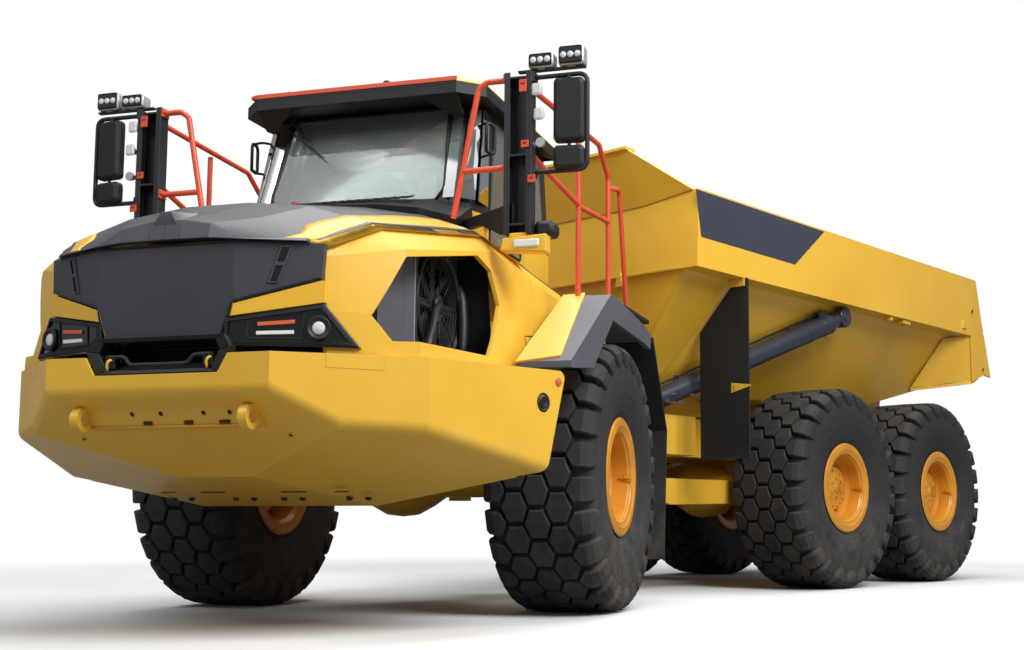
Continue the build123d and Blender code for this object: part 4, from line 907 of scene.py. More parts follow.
def frame_on_nose(shape, points, width, out, sunk=0.0):
    """Rim along an outline: the outline drawn in by a width is left open."""
    n = len(points)
    centre = Vector((sum(p[0] for p in points) / n, sum(p[1] for p in points) / n))
    inner = []
    for i in range(n):
        here, before, after = Vector(points[i]), Vector(points[i - 1]), Vector(points[(i + 1) % n])
        a, b = (here - before).normalized(), (after - here).normalized()
        normals = [Vector((-a.y, a.x)), Vector((-b.y, b.x))]
        normals = [v if v.dot(centre - here) > 0 else -v for v in normals]
        way = (normals[0] + normals[1]) / max(0.4, 1 + normals[0].dot(normals[1]))
        inner.append(tuple(here + way * width))
    for i in range(n):
        j = (i + 1) % n
        on_nose(shape, [points[i], points[j], inner[j], inner[i]], out, sunk)
    return shape


# The dark plate in each slot is painted shade for the slot's depth.
recess = Shape()
slot_shade = Shape()
slot = [(0.560, 1.835), (0.607, 1.835), (0.668, 2.028), (0.615, 2.028)]
frame_on_nose(recess, slot, 0.007, 0.008, 0.004)
on_nose(recess, [(0.590, 1.925), (0.628, 1.925), (0.634, 1.945), (0.596, 1.945)], 0.008, 0.004)
on_nose(slot_shade, slot, 0.001, 0.002)
build("nose_slot_frames", recess.mirrored(), "front_unit", charcoal, bevel=0.002)
build("nose_slot_shade", slot_shade.mirrored(), "front_unit", gloss_black, bevel=0.0008)

edging = Shape()
for points in ([(0.395, 1.737), (0.806, 1.864), (0.806, 1.872), (0.397, 1.745)],
               [(0.332, 1.562), (0.340, 1.562), (0.397, 1.731), (0.389, 1.735)]):
    on_nose(edging, points, 0.006, 0.002)
build("nose_panel_edging", edging.mirrored(), "front_unit", gloss_black, bevel=0.0015)

# %% [markdown]
# The hood ends in a lip that closes the front above the nose panel. It follows the hood's own
# section: the table repeats the heights of the hood's corners, and a function gives any point of
# the skin between them. The crest in the middle is a small raised wedge.


# %% Points of the hood's skin
HOOD = [
    # y, then x and z of the shoulder, x and z of the middle, z of the crown
    (-3.030, 0.400, 2.066, 0.260, 2.150, 2.178), (-2.830, 0.770, 2.075, 0.430, 2.215, 2.250),
    (-2.560, 0.935, 2.215, 0.560, 2.330, 2.375), (-1.210, 1.000, 2.465, 0.650, 2.590, 2.670),
    (-0.620, 1.080, 2.375, 0.860, 2.420, 2.740), (0.200, 1.180, 2.255, 0.860, 2.300, 2.400),
]


def hood_point(y, share, lift=0.0):
    """Point of the skin: share 0 is the shoulder, 1 the middle corner, 2 the crown's edge, 3 the centre."""
    row = [along_table([(r[0], r[k]) for r in HOOD], y) for k in range(1, 6)]
    corners = [(row[0], row[1]), (row[2], row[3]), (row[2] * 0.35, row[4]), (0.0, row[4])]
    k = min(int(share), 2)
    t = share - k
    (ax, az), (bx, bz) = corners[k], corners[k + 1]
    return Vector((ax + (bx - ax) * t, y, az + (bz - az) * t + lift))


lip = Shape()
FASCIA = [(0.0, 2.070), (0.091, 2.070), (0.260, 2.068), (0.400, 2.056), (0.745, 2.052)]
top_edge = [(0.0, 2.178), (0.091, 2.178), (0.260, 2.150), (0.400, 2.066), (0.740, 2.076)]
for (x0, z0), (x1, z1), (a0, b0), (a1, b1) in zip(top_edge, top_edge[1:], FASCIA, FASCIA[1:]):
    front = [(x0, nose_y(x0) - 0.012, z0 - 0.004), (x1, nose_y(x1) - 0.012, z1 - 0.004),
             (a1, nose_y(a1) - 0.030, b1), (a0, nose_y(a0) - 0.030, b0)]
    lip.skin([[(x, y + 0.045, z) for x, y, z in front], front])
build("hood_lip", lip.mirrored(), "front_unit", charcoal, bevel=0.004)

crest = Shape()
rows = []
for y, half, high in ((-3.046, 0.060, 0.0), (-3.040, 0.032, 0.046), (-2.97, 0.028, 0.038),
                      (-2.82, 0.018, 0.010), (-2.72, 0.008, -0.006)):
    base = hood_point(max(y, -3.03), 3)
    foot = base.z - (0.060 if y < -3.04 else 0.02)
    rows.append([(-half - 0.030, y, foot), (-half, y, base.z + high), (half, y, base.z + high),
                 (half + 0.030, y, foot)])
build("hood_crest", crest.skin(rows), "front_unit", charcoal, bevel=0.004)

points = [(x, nose_y(x) - 0.003, 2.047) for x in (0.0, 0.2, 0.400, 0.6, 0.750)]
seam_line = Shape().pipe(points, 0.006, 0.0, 8)
build("hood_seal", seam_line.mirrored(), "front_unit", black_plastic)

# %% [markdown]
# The yellow side panels wrap over the hood's shoulders, and their upper edge sweeps inwards above
# the wheel. The skin there is a thin sheet that lies on the hood, cut along that sweep.

# %% Yellow shoulders
SWEEP = [(-2.915, 0.02), (-2.860, 0.20), (-2.77, 0.46), (-2.68, 0.47), (-2.60, 0.42), (-2.40, 0.48),
         (-2.18, 0.57), (-1.80, 0.74), (-1.50, 0.80), (-1.21, 0.70), (-1.00, 0.42), (-0.80, 0.16),
         (-0.62, 0.02)]
STEPS = 60
stations = []
for k in range(STEPS + 1):
    y = SWEEP[0][0] + (SWEEP[-1][0] - SWEEP[0][0]) * k / STEPS
    edge = along_table(SWEEP, y)
    outer = [hood_point(y, edge * t / 4, 0.004) for t in range(5)]
    outer[0] = outer[0] + Vector((0.062, 0, -0.044))
    inner = [hood_point(y, edge * t / 4, -0.008) for t in (4, 3, 2, 1, 0)]
    stations.append(outer + inner)
shoulders = Shape().skin(stations, smooth=True)
build("hood_shoulders", shoulders.mirrored(), "front_unit", yellow)

# %% [markdown]
# Each lamp pod is a gloss black recess with a raised rim, a round driving lamp in a dark bowl,
# an orange marker bar and a white one. The lamp's axis is square to the folded wall, so its bowl
# and lens are turned about that axis. A dark plate behind the wall closes the slits between the
# pods and the panels.

# %% Lamp pods
pod_rims, bowls, bars_orange, bars_white, round_lenses = Shape(), Shape(), Shape(), Shape(), Shape()
frame_on_nose(pod_rims, [(0.365, 1.650), (0.822, 1.728), (0.968, 1.520), (0.352, 1.520)], 0.020, 0.012, 0.004)
frame_on_nose(pod_rims, [(0.470, 1.660), (0.735, 1.694), (0.728, 1.545), (0.462, 1.545)], 0.010, 0.006, 0.002)
on_nose(bars_orange, [(0.520, 1.632), (0.690, 1.648), (0.690, 1.628), (0.520, 1.613)], 0.010, 0.0)
on_nose(bars_white, [(0.515, 1.586), (0.686, 1.594), (0.686, 1.575), (0.515, 1.568)], 0.010, 0.0)
lamp_at = Vector((0.800, nose_y(0.800) - 0.001, 1.606))
lamp_way = Vector((0.172, -0.422, 0.0)).normalized()
bowls.lathe([(0.0, 0.0), (0.0, 0.058), (0.018, 0.062), (0.024, 0.057), (0.020, 0.052), (0.010, 0.030),
             (0.006, 0.0)], lamp_at, lamp_way, 36, False)
round_lenses.lathe([(0.010, 0.0), (0.010, 0.034), (0.017, 0.032), (0.024, 0.020), (0.026, 0.0)],
                   lamp_at, lamp_way, 36, False)
backing = on_nose(Shape(), [(0.300, 2.000), (0.780, 2.000), (0.900, 1.530), (0.300, 1.530)], -0.045, 0.055)
build("nose_backing", backing.mirrored(), "front_unit", black_plastic)
build("pod_rims", pod_rims.mirrored(), "front_unit", black_plastic, bevel=0.003)
build("lamp_bowls", bowls.mirrored(), "front_unit", black_metal)
build("lamp_lenses", round_lenses.mirrored(), "front_unit", lens_clear)
build("marker_bars_orange", bars_orange.mirrored(), "front_unit", lens_orange, bevel=0.002)
build("marker_bars_white", bars_white.mirrored(), "front_unit", lens_white, bevel=0.002)

# %% [markdown]
# The air intake sits in the notch between the nose and the bumper: a black moulding with a
# sloping shelf, a grab bar and two hooks, and louvres across the dark behind it.

# %% Intake
intake = Shape()
mouth_out = [(-0.350, 1.378), (0.350, 1.378), (0.425, 1.500), (0.385, 1.568), (-0.385, 1.568),
             (-0.425, 1.500)]
mouth_in = [(-0.300, 1.400), (0.300, 1.400), (0.352, 1.490), (0.325, 1.545), (-0.325, 1.545), (-0.352, 1.490)]
for i in range(6):
    j = (i + 1) % 6
    (a, b), (c, d), (e, f), (g, h) = mouth_out[i], mouth_out[j], mouth_in[j], mouth_in[i]
    intake.skin([[(a, -3.078, b), (c, -3.078, d), (e, -3.064, f), (g, -3.064, h)],
                 [(a, -3.020, b), (c, -3.020, d), (e, -2.900, f), (g, -2.900, h)]])
intake.skin([[(-0.30, -3.050, z), (0.30, -3.050, z), (0.25, -2.900, back_z), (-0.25, -2.900, back_z)]
             for z, back_z in ((1.400, 1.470), (1.390, 1.390))])
build("intake_moulding", intake, "front_unit", black_plastic, bevel=0.006)
grab = Shape().pipe([(-0.29, -3.055, 1.470), (-0.20, -3.055, 1.470), (-0.17, -3.060, 1.425),
                     (0.17, -3.060, 1.425), (0.20, -3.055, 1.470), (0.29, -3.055, 1.470)], 0.011, 0.03)
for x in (-0.285, 0.285):
    grab.box((x, -3.045, 1.445), (0.055, 0.03, 0.07))
build("intake_bar", grab, "front_unit", black_metal, bevel=0.003)
louvres = Shape()
for k in range(7):
    louvres.box((0, -2.885 + 0.004 * k, 1.405 + 0.022 * k), (0.70 - 0.01 * abs(3 - k), 0.030, 0.005),
                Matrix.Rotation(0.5, 3, "X"))
louvres.box((0, -2.850, 1.47), (0.74, 0.008, 0.19))
build("intake_louvres", louvres, "front_unit", black_plastic, bevel=0.001)
hooks = Shape()
for x in (-0.29, 0.29):
    hooks.pipe([(x, -3.070, 1.400), (x, -3.082, 1.430), (x + 0.012, -3.078, 1.452),
                (x + 0.012, -3.05, 1.455)], 0.007, 0.02)
build("intake_hooks", hooks, "front_unit", yellow)

# %% [markdown]
# ## Bumper
# The bumper is a folded tub. Its upper edge is stiffened at the two front corners, the ledge
# between the tow eyes has a row of drain holes and slots, and the belly is bolted from below.
# A hole in thick plate reads as a dark spot with a bright edge, so each round one is a small
# turned ring round a dark disc of painted shade, laid square to the plate, and each slot is a
# dark block of painted shade.

# %% Bumper fittings
CORNER_A, CORNER_B = Vector((0.650, -3.090, 0)), Vector((1.267, -2.535, 0))
CORNER_C = Vector((1.690, -1.470, 0))


def bumper_top(y):
    """Height of the bumper's upper edge."""
    return 1.468 + (1.515 - 1.468) * (y + 3.09) / 1.62


run = (CORNER_B - CORNER_A).normalized()
outward = Vector((run.y, -run.x, 0))
near, far = (CORNER_A + run * d for d in (0.28, 0.59))
stiffener = Shape().plate([spot + outward * 0.0008 + Vector((0, 0, z)) for spot, z in (
    (near, 1.400), (far, 1.400), (far, bumper_top(far.y)), (near, bumper_top(near.y)))], outward * -0.0176)
build("bumper_corner_plates", stiffener.mirrored(), "front_unit", yellow)

LEDGE_UP = Vector((0.0, -0.89, -0.46)).normalized()
BELLY_UP = Vector((0.0, -0.566, -0.824)).normalized()


def round_hole(shade_disc, ring, centre, way, radius):
    """Painted shade for a hole: a dark disc in a thin raised ring, facing a direction."""
    shade_disc.lathe([(-0.004, 0.0), (0.0008, 0.0), (0.0008, radius), (-0.004, radius)], centre, way, 20, False)
    ring.lathe([(-0.004, radius * 0.98), (0.003, radius), (0.003, radius * 1.18), (-0.004, radius * 1.3)],
               centre, way, 20, False)


# The dark discs and slot blocks are painted shade for the depth of each hole.
shaded_holes, rings = Shape(), Shape()
for x in (-0.20, -0.03, 0.22, 0.37):
    round_hole(shaded_holes, rings, (x, -2.975, 1.180), LEDGE_UP, 0.013)
for x, wide in ((-0.12, 0.05), (0.12, 0.05), (0.33, 0.06)):
    shaded_holes.box((x, -2.952, 1.136), (wide, 0.012, 0.020), Matrix.Rotation(-0.48, 3, "X"))
for x in (0.62, -0.62):
    round_hole(shaded_holes, rings, (x, -2.80, 1.070), BELLY_UP, 0.011)
for x in (0.22, 0.30, 0.56, -0.22, -0.30, -0.56):
    shaded_holes.box((x, -2.10, 0.7965), (0.075, 0.030, 0.006), Matrix.Rotation(0.18, 3, "X"))
build("bumper_hole_shade", shaded_holes, "front_unit", gloss_black)
build("bumper_hole_rings", rings, "front_unit", yellow)

ledge_edge = Shape().pipe([(-0.462, -2.945, 1.117), (0.462, -2.945, 1.117)], 0.006, 0.0, 8)
ledge_edge.pipe([(-0.44, -3.000, 1.224), (0.44, -3.000, 1.224)], 0.005, 0.0, 8)
build("bumper_ledge_edges", ledge_edge, "front_unit", yellow)

belly_bolts = Shape()
for x in (0.10, 0.22, 0.52, 0.64, -0.10, -0.22, -0.52, -0.64):
    hex_head(belly_bolts, (x, -1.92, 0.765), (0, -0.18, -1), 0.016, 0.016)
build("bumper_belly_bolts", belly_bolts, "front_unit", black_metal)

caps, cap_rings, reflectors = Shape(), Shape(), Shape()
side_way = Vector(((CORNER_C - CORNER_B).y, -(CORNER_C - CORNER_B).x, 0)).normalized()


def on_bumper_side(y, z):
    """Point on the bumper's side wall."""
    t = (y - CORNER_B.y) / (CORNER_C.y - CORNER_B.y)
    return Vector((CORNER_B.x + (CORNER_C.x - CORNER_B.x) * t, y, z))


cap_at = on_bumper_side(-1.665, 1.315)
caps.lathe([(0.0, 0.0), (0.0, 0.040), (0.008, 0.040), (0.012, 0.030), (0.006, 0.024), (0.004, 0.0)],
           cap_at, side_way, 28, False)
along_wall = side_way.cross(Z_AXIS)
for a in turns(4, 0.5):
    bolt_at = cap_at + (along_wall * math.cos(a) + Z_AXIS * math.sin(a)) * 0.031
    hex_head(caps, bolt_at, side_way, 0.004, 0.012)
cap_rings.lathe([(0.0, 0.046), (0.004, 0.046), (0.004, 0.055), (0.0, 0.058)], cap_at, side_way, 28, False)
reflectors.lathe([(0.0, 0.0), (0.0, 0.026), (0.007, 0.024), (0.010, 0.014), (0.011, 0.0)],
                 on_bumper_side(-1.540, 1.445), side_way, 24, False)
build("bumper_caps", caps.mirrored(), "front_unit", black_plastic)
build("bumper_cap_rings", cap_rings.mirrored(), "front_unit", black_metal)
build("bumper_reflectors", reflectors.mirrored(), "front_unit", lens_orange)

# %% [markdown]
# ## Engine bay
# Through the six-sided openings one sees a blue-grey cooler cover with a folded edge, the dark
# fan in its ring and two pipes, and nothing else, because the bay is lined. The liner is a thin
# dark tray just inside the panel. The fan gets a fine wire guard, and the cooler its rows of fins.


# %% Bay liner, fan guard, cooler and pipes
def hood_side_x(y, z):
    """How far out the hood's side stands at a height."""
    bottom, waist, top_x, top_z = (along_table([(r[0], r[k]) for r in SIDE], y) for k in (1, 2, 3, 4))
    if z <= 1.70:
        return bottom + (waist - bottom) * (z - 1.5) / 0.20
    return waist + (top_x - waist) * (z - 1.70) / (top_z - 1.70)


SIDE = [
    # y, bottom x, waist x, top x, top z
    (-2.830, 0.830, 0.826, 0.800, 1.985), (-2.560, 1.225, 1.212, 1.130, 2.060),
    (-1.210, 1.300, 1.270, 1.125, 2.325), (-0.620, 1.310, 1.290, 1.150, 2.265),
    (0.200, 1.320, 1.300, 1.230, 2.170),
]
LINER_THICK = 0.010
BAY_WALL, BAY_BACK, BAY_FLOOR = 0.800, -1.240, 1.570
liner = Shape()
liner.plate([(BAY_WALL, y, z) for y, z in (
    (-2.60, BAY_FLOOR), (BAY_BACK, BAY_FLOOR), (BAY_BACK, 2.360), (-2.60, 2.120))], (-LINER_THICK, 0, 0))
liner.plate([(x, BAY_BACK, z) for x, z in (
    (0.79, BAY_FLOOR), (1.14, BAY_FLOOR), (1.09, 2.270), (0.79, 2.360))], (0, LINER_THICK, 0))
liner.plate([(0.79, -2.60, 1.562), (1.02, -2.60, 1.562), (1.17, -2.40, 1.562), (1.17, -1.24, 1.562),
             (0.79, -1.24, 1.562)], (0, 0, LINER_THICK))
liner.plate([(0.80, -2.55, 2.115), (1.00, -2.55, 2.060), (1.02, -1.24, 2.275), (0.80, -1.24, 2.340)],
            (0, 0, -LINER_THICK))
build("bay_liner", liner.mirrored(), "front_unit", black_plastic)

cover = Shape()
cover.plate([(0.958, -2.530, 1.580), (0.958, -2.200, 1.580), (0.958, -2.200, 2.140), (0.958, -2.530, 2.080)],
            (0.006, 0, 0))
cover.skin([[(x0, -2.200, 1.580), (x1, y1, 1.580), (x1, y1, 2.150), (x0, -2.200, 2.140)]
            for x0, x1, y1 in ((0.964, 0.985, -2.110), (0.958, 0.979, -2.104))])
build("cooler_covers", cover.mirrored(), "front_unit", fender_grey, bevel=0.003)
# A pale metal strip along the cover's fold is a painted highlight on the folded edge.
fold_highlight = Shape().box((0.987, -2.106, 1.865), (0.010, 0.010, 0.57))
build("cooler_fold_highlights", fold_highlight.mirrored(), "front_unit", silver, bevel=0.002)

fins = Shape()
for k in range(44):
    fins.box((0.900, -2.084, 1.585 + 0.0125 * k), (0.10, 0.030, 0.003))
build("cooler_fins", fins.mirrored(), "front_unit", iron)

FAN = Vector((0.940, -1.660, 1.910))
HOOP = [2 * math.pi * k / 40 for k in range(41)]
guard = Shape()
for radius in (0.07, 0.11, 0.15, 0.19, 0.23, 0.27, 0.31):
    guard.pipe([FAN + about_x(0.012, radius, a) for a in HOOP], 0.0022, 0.0, 6)
for a in turns(8):
    guard.pipe([FAN + about_x(0.014, radius, a) for radius in (0.06, 0.325)], 0.0035, 0.0, 6)
guard.lathe([(0.0, 0.0), (0.004, 0.062), (0.016, 0.062), (0.022, 0.040), (0.024, 0.0)],
            FAN, X_AXIS, 32, False)
guard.lathe([(0.0, 0.312), (0.022, 0.316), (0.026, 0.330), (0.018, 0.345), (0.0, 0.345)],
            FAN, X_AXIS, 56, False)
build("fan_guards", guard.mirrored(), "front_unit", black_metal)
pipework = Shape().pipe([(1.01, -1.99, 1.585), (1.01, -1.90, 1.72), (0.99, -1.80, 1.86), (0.97, -1.70, 1.90)],
                        0.026, 0.08, 14)
pipework.pipe([(0.99, -1.40, 1.585), (0.99, -1.36, 1.80), (0.96, -1.32, 2.02), (0.90, -1.30, 2.12)],
              0.034, 0.1, 14)
for k, y in enumerate((-1.96, -1.84)):
    pipework.box((1.005, y, 1.64 + 0.16 * k), (0.062, 0.018, 0.062), Matrix.Rotation(-0.7, 3, "X"))
build("bay_pipes", pipework.mirrored(), "front_unit", black_metal)

# %% [markdown]
# The rear hood panel carries a small service door. Only its seam shows, a narrow dark line
# with rounded corners, and two quarter-turn latches. A moulded cowl closes the gap under the
# windscreen, with a row of vent bars and a red filler cap.

# %% Service door and hood fittings
seams = Shape()
corners = [(-0.955, 1.665), (-0.490, 1.715), (-0.435, 1.885), (-0.960, 1.815)]
path = [Vector((hood_side_x(y, z) + 0.0005, y, z)) for y, z in corners + corners[:1]]
seams.pipe(path, 0.0035, 0.03, 6)
build("service_door_seam", seams.mirrored(), "front_unit", gloss_black)
latches = Shape()
for y, z in ((-0.90, 1.69), (-0.53, 1.74)):
    latches.lathe([(0.0, 0.0), (0.0, 0.014), (0.004, 0.013), (0.005, 0.0)],
                  (hood_side_x(y, z), y, z), (1, 0, 0.1), 20, False)
    latches.box((hood_side_x(y, z) + 0.005, y, z), (0.004, 0.020, 0.004))
build("service_door_latches", latches.mirrored(), "front_unit", black_metal)

COWL_HALF = 0.82
rows = []
for x in (-COWL_HALF, -0.6, -0.3, 0.0, 0.3, 0.6, COWL_HALF):
    y = -0.94 + 0.16 * max(0.0, abs(x) - 0.66) / 0.16
    fall = (x / COWL_HALF) ** 2
    rows.append([(x, y - 0.26, 2.705 - 0.10 * fall), (x, y - 0.015, 2.790 - 0.05 * fall),
                 (x, y - 0.005, 2.700 - 0.05 * fall), (x, y - 0.25, 2.660 - 0.10 * fall)])
cowl = Shape().skin(rows)
for k in range(16):
    x = -0.48 + 0.064 * k
    cowl.box((x, -1.075, 2.757), (0.040, 0.12, 0.010), Matrix.Rotation(0.34, 3, "X"))
build("windscreen_cowl", cowl, "front_unit", black_plastic, bevel=0.004)
knob = Shape().lathe([(0.0, 0.0), (0.0, 0.022), (0.028, 0.024), (0.040, 0.016), (0.043, 0.0)],
                     (-0.33, -1.12, 2.725), (0, -0.2, 1), 20, False)
build("cowl_red_cap", knob, "front_unit", lens_red)

# %% [markdown]
# A flare carries the side panel's yellow over the inner strip of the fender's slope.

# %% Fender flares
flare = Shape()
SLOPE_OUT = Vector((0.0, -0.515, 0.857))
for side in (1, -1):
    corners = [Vector((side * x, y, z)) for x, y, z in (
        (1.325, -1.345, 1.592), (1.600, -1.280, 1.630), (1.490, -0.365, 2.180), (1.340, -0.385, 2.168))]
    flare.plate([p + SLOPE_OUT * 0.012 for p in corners], SLOPE_OUT * -0.016)
build("fender_flares", flare, "front_unit", yellow, bevel=0.003)

# %% [markdown]
# ## Cab
# The roof is a shallow shell whose edge hides its crown from below. It replaces the CAD roof and
# keeps its outline. Under the edge runs a black soffit that slopes back to the glass, and the
# front edge carries an orange-red band. Rings of points joined one to the next make the shell.

# %% Roof
ROOF = [(0.745, -0.925), (0.900, -0.780), (0.900, 0.830)]


def roof_ring(inset, z):
    """Roof outline drawn in by an inset, at a height."""
    (ax, ay), (bx, by), (cx, cy) = ROOF
    points = [(ax - inset * 0.6, ay + inset), (bx - inset, by + inset * 0.6), (cx - inset, cy - inset)]
    return [(x, y, z) for x, y in points] + [(-x, y, z) for x, y in reversed(points)]


roof = Shape().skin([roof_ring(inset, z) for inset, z in (
    (0.0, 3.556), (0.0, 3.590), (0.014, 3.606), (0.12, 3.634), (0.26, 3.664), (0.30, 3.668), (0.315, 3.682),
    (0.45, 3.690))])
roof_piece = build("roof_shell", roof, "front_unit", yellow, bevel=0.006, angle=12)
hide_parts("cab_roof")
BEACON_AT = (-0.600, -0.700, 3.622)
fittings = Shape()
fittings.lathe([(0.0, 0.0), (0.0, 0.052), (0.020, 0.052), (0.026, 0.040), (0.100, 0.034), (0.122, 0.022),
                (0.130, 0.0)], (0, -0.42, 3.690), Z_AXIS, 28, False)
fittings.lathe([(0.0, 0.0), (0.0, 0.062), (0.022, 0.060), (0.028, 0.050), (0.028, 0.0)],
               BEACON_AT, Z_AXIS, 28, False)
for side in (1, -1):
    fittings.box((side * 0.62, 0.30, 3.672), (0.06, 0.50, 0.024))
build("roof_fittings", fittings, "front_unit", black_plastic, bevel=0.003)
dome = Shape().lathe([(0.026, 0.0), (0.026, 0.047), (0.060, 0.044), (0.078, 0.030), (0.084, 0.0)],
                     BEACON_AT, Z_AXIS, 28, False)
build("beacon_dome", dome, "front_unit", lens_white)

soffit = Shape()
outer = [(0.0, -0.935), (0.750, -0.935), (0.910, -0.785), (0.910, 0.835)]
inner = [(0.0, -0.644), (0.650, -0.644), (0.762, -0.580), (0.820, 0.775)]
for (ax, ay), (bx, by), (ix, iy), (jx, jy) in zip(outer, outer[1:], inner, inner[1:]):
    soffit.skin([[(ax, ay, 3.492), (bx, by, 3.492), (jx, jy, 3.512), (ix, iy, 3.512)],
                 [(x, y, 3.5545) for x, y in ((ax, ay), (bx, by), (jx, jy), (ix, iy))]])
    edge = [(ax, ay, 3.554), (bx, by, 3.554), (bx, by, 3.574), (ax, ay, 3.574)]
    soffit.skin([edge, [(x * 0.99, y * 0.99, z) for x, y, z in edge]])
soffit.skin([[(-0.90, y, 3.500), (0.90, y, 3.500), (0.90, y, top), (-0.90, y, top)]
             for y, top in ((0.842, 3.574), (0.790, 3.5545))])
build("roof_soffit", soffit.mirrored(), "front_unit", black_plastic)
visor = Shape().skin([
    [(0.46, -0.930, 3.500), (0.748, -0.930, 3.500), (0.748, -0.800, 3.380), (0.700, -0.790, 3.360)],
    [(0.46, -0.900, 3.500), (0.748, -0.900, 3.500), (0.748, -0.780, 3.390), (0.700, -0.770, 3.370)]])
build("sun_visor_corner", visor.mirrored(), "front_unit", black_plastic, bevel=0.003)
band = Shape()
band.skin([[(-x, y, 3.574), (x, y, 3.574), (x, top_y, top), (-x, top_y, top)]
           for x, y, top_y, top in ((0.752, -0.940, -0.940, 3.606), (0.745, -0.916, -0.900, 3.612))])
band.skin([[(-0.752, y, 3.574), (-0.80, end_y, 3.578), (-0.80, end_y, 3.600), (-0.752, y, 3.606)]
           for y, end_y in ((-0.940, -0.930), (-0.910, -0.885))])
build("roof_front_band", band, "front_unit", rail_red, bevel=0.003)

# %% [markdown]
# Rubber seals frame the glass, with the wiper, the small side mirror and the door's handle. The
# walls lean in above the sill, so a point's depth comes from its height. Panes over the corner
# posts carry the glass round the corner. They are almost wholly painted reflection, a dark
# grey-green matte layer with little seen through it.


# %% Seals, wiper, side mirror, handle
SILL_Z, WALL_HEIGHT = 2.70, 0.855
LEAN_FRONT, LEAN_SIDE = 0.310, 0.040


def wall_lean(z):
    """Share of the way from the sill to the roof."""
    return max(0.0, (z - SILL_Z) / WALL_HEIGHT)


def front_y(z):
    """Where the front glass stands at a height."""
    return -0.930 + LEAN_FRONT * wall_lean(z)


def side_x(z):
    """Where the side glass stands at a height."""
    return 0.850 - LEAN_SIDE * wall_lean(z)


def loop(shape, points, radius):
    """Seal round an opening."""
    return shape.pipe(points + points[:1], radius, 0.04, 8)


seals = Shape()
screen = [(0.600, 2.770), (0.650, 2.860), (0.590, 3.480), (-0.590, 3.480), (-0.650, 2.860), (-0.600, 2.770)]
loop(seals, [(x, front_y(z) - 0.002, z) for x, z in screen], 0.011)
for side, points in ((-1, [(-0.600, 2.770), (-0.420, 3.480), (0.640, 3.480), (0.700, 2.770)]),
                     (1, [(0.260, 2.770), (0.240, 3.480), (0.640, 3.480), (0.700, 2.770)])):
    loop(seals, [(side * (side_x(z) + 0.002), y, z) for y, z in points], 0.009)
build("window_seals", seals, "front_unit", black_plastic)
door_seal = loop(Shape(), [(side_x(z) + 0.002, y, z) for y, z in (
    (-0.545, 2.540), (-0.545, 2.716), (-0.384, 3.450), (0.100, 3.450), (0.116, 2.540))], 0.009)
build("door_glass_seal", door_seal, "door", black_plastic)
handle = Shape().pipe([(0.852, 0.130, 2.640), (0.885, 0.130, 2.640), (0.885, 0.020, 2.640),
                       (0.852, 0.020, 2.640)], 0.009, 0.015)
handle.box((0.852, 0.075, 2.640), (0.008, 0.15, 0.045))
build("door_handle", handle, "door", black_metal, bevel=0.002)

wiper = Shape().pipe([(-0.62, front_y(3.50) - 0.02, 3.500), (-0.60, front_y(3.48) - 0.05, 3.470),
                      (-0.44, front_y(3.31) - 0.035, 3.310)], 0.009, 0.03)
wiper.pipe([(-0.62, front_y(3.40) - 0.030, 3.400), (-0.30, front_y(3.16) - 0.030, 3.160)], 0.006, 0.0, 8)
wiper.lathe([(0.0, 0.0), (0.0, 0.026), (0.03, 0.022), (0.035, 0.0)],
            (-0.62, front_y(3.50) - 0.005, 3.500), (0, -1, 0.3), 20, False)
wiper.box((-0.46, front_y(3.285) - 0.012, 3.285), (0.40, 0.012, 0.014), Matrix.Rotation(0.643, 3, "Y"))
build("windscreen_wiper", wiper, "front_unit", black_metal, bevel=0.001)

spot = Shape()
loop(spot, [(0.895, -0.740, 3.130), (0.915, -0.630, 3.130), (0.915, -0.630, 3.330), (0.895, -0.740, 3.330)],
     0.012)
spot.pipe([(0.800, -0.640, 3.340), (0.860, -0.665, 3.350), (0.905, -0.685, 3.338)], 0.009, 0.02)
spot.pipe([(0.810, -0.655, 3.110), (0.905, -0.685, 3.122)], 0.009)
build("side_mirror_frame", spot.mirrored(), "front_unit", black_plastic)

# Corner panes of painted reflection, nearly opaque.
corner = Shape()
low, high = 2.780, 3.470
for (ax, ay), (bx, by) in (((0.655, 0.0), (0.735, 0.0)), ((0.765, 0.030), (0.838, 0.128)),
                           ((0.852, 0.165), (0.853, 0.345))):
    quad = []
    for x, y, z in ((ax, ay, low), (bx, by, low), (bx, by, high), (ax, ay, high)):
        share = wall_lean(z)
        leaning = (LEAN_FRONT * share) * max(0.0, 1 - y / 0.55)
        quad.append(Vector((x - LEAN_SIDE * share * (x / 0.85), -0.936 + y + leaning, z)))
    normal = (quad[1] - quad[0]).cross(quad[3] - quad[0]).normalized() * 0.004
    corner.plate([p + normal for p in quad], normal * -2)
build("corner_panes", corner.mirrored(), "front_unit", corner_pane)

# %% [markdown]
# Inside the cab the seat, the wheel and the rear screens show as soft shapes behind the glass.
# The seat is padded, so it is a rounded block with a raised edge on each side, and the screens
# are a lattice of thin bars in two halves.


# %% Cab inside
def squared(value, power=0.35):
    """Sine or cosine pushed towards a square wave, which turns a ball into a soft box."""
    return math.copysign(abs(value) ** power, value)


def pad(shape, centre, size, crown, steps=8):
    """Cushion: a box whose faces swell between its edges."""
    sx, sy, sz = (s / 2 for s in size)
    rings = []
    for i in range(steps + 1):
        a = -math.pi / 2 + math.pi * i / steps
        ring = []
        for k in range(4 * steps):
            b = 2 * math.pi * k / (4 * steps)
            x = sx * squared(math.cos(a)) * squared(math.cos(b))
            y = sy * squared(math.cos(a)) * squared(math.sin(b))
            z = (sz + crown * (1 - (x / sx) ** 2) * (1 - (y / sy) ** 2)) * squared(math.sin(a))
            ring.append(Vector((x, y, z)) + Vector(centre))
        rings.append(ring)
    return shape.skin(rings, smooth=True, ends=False)


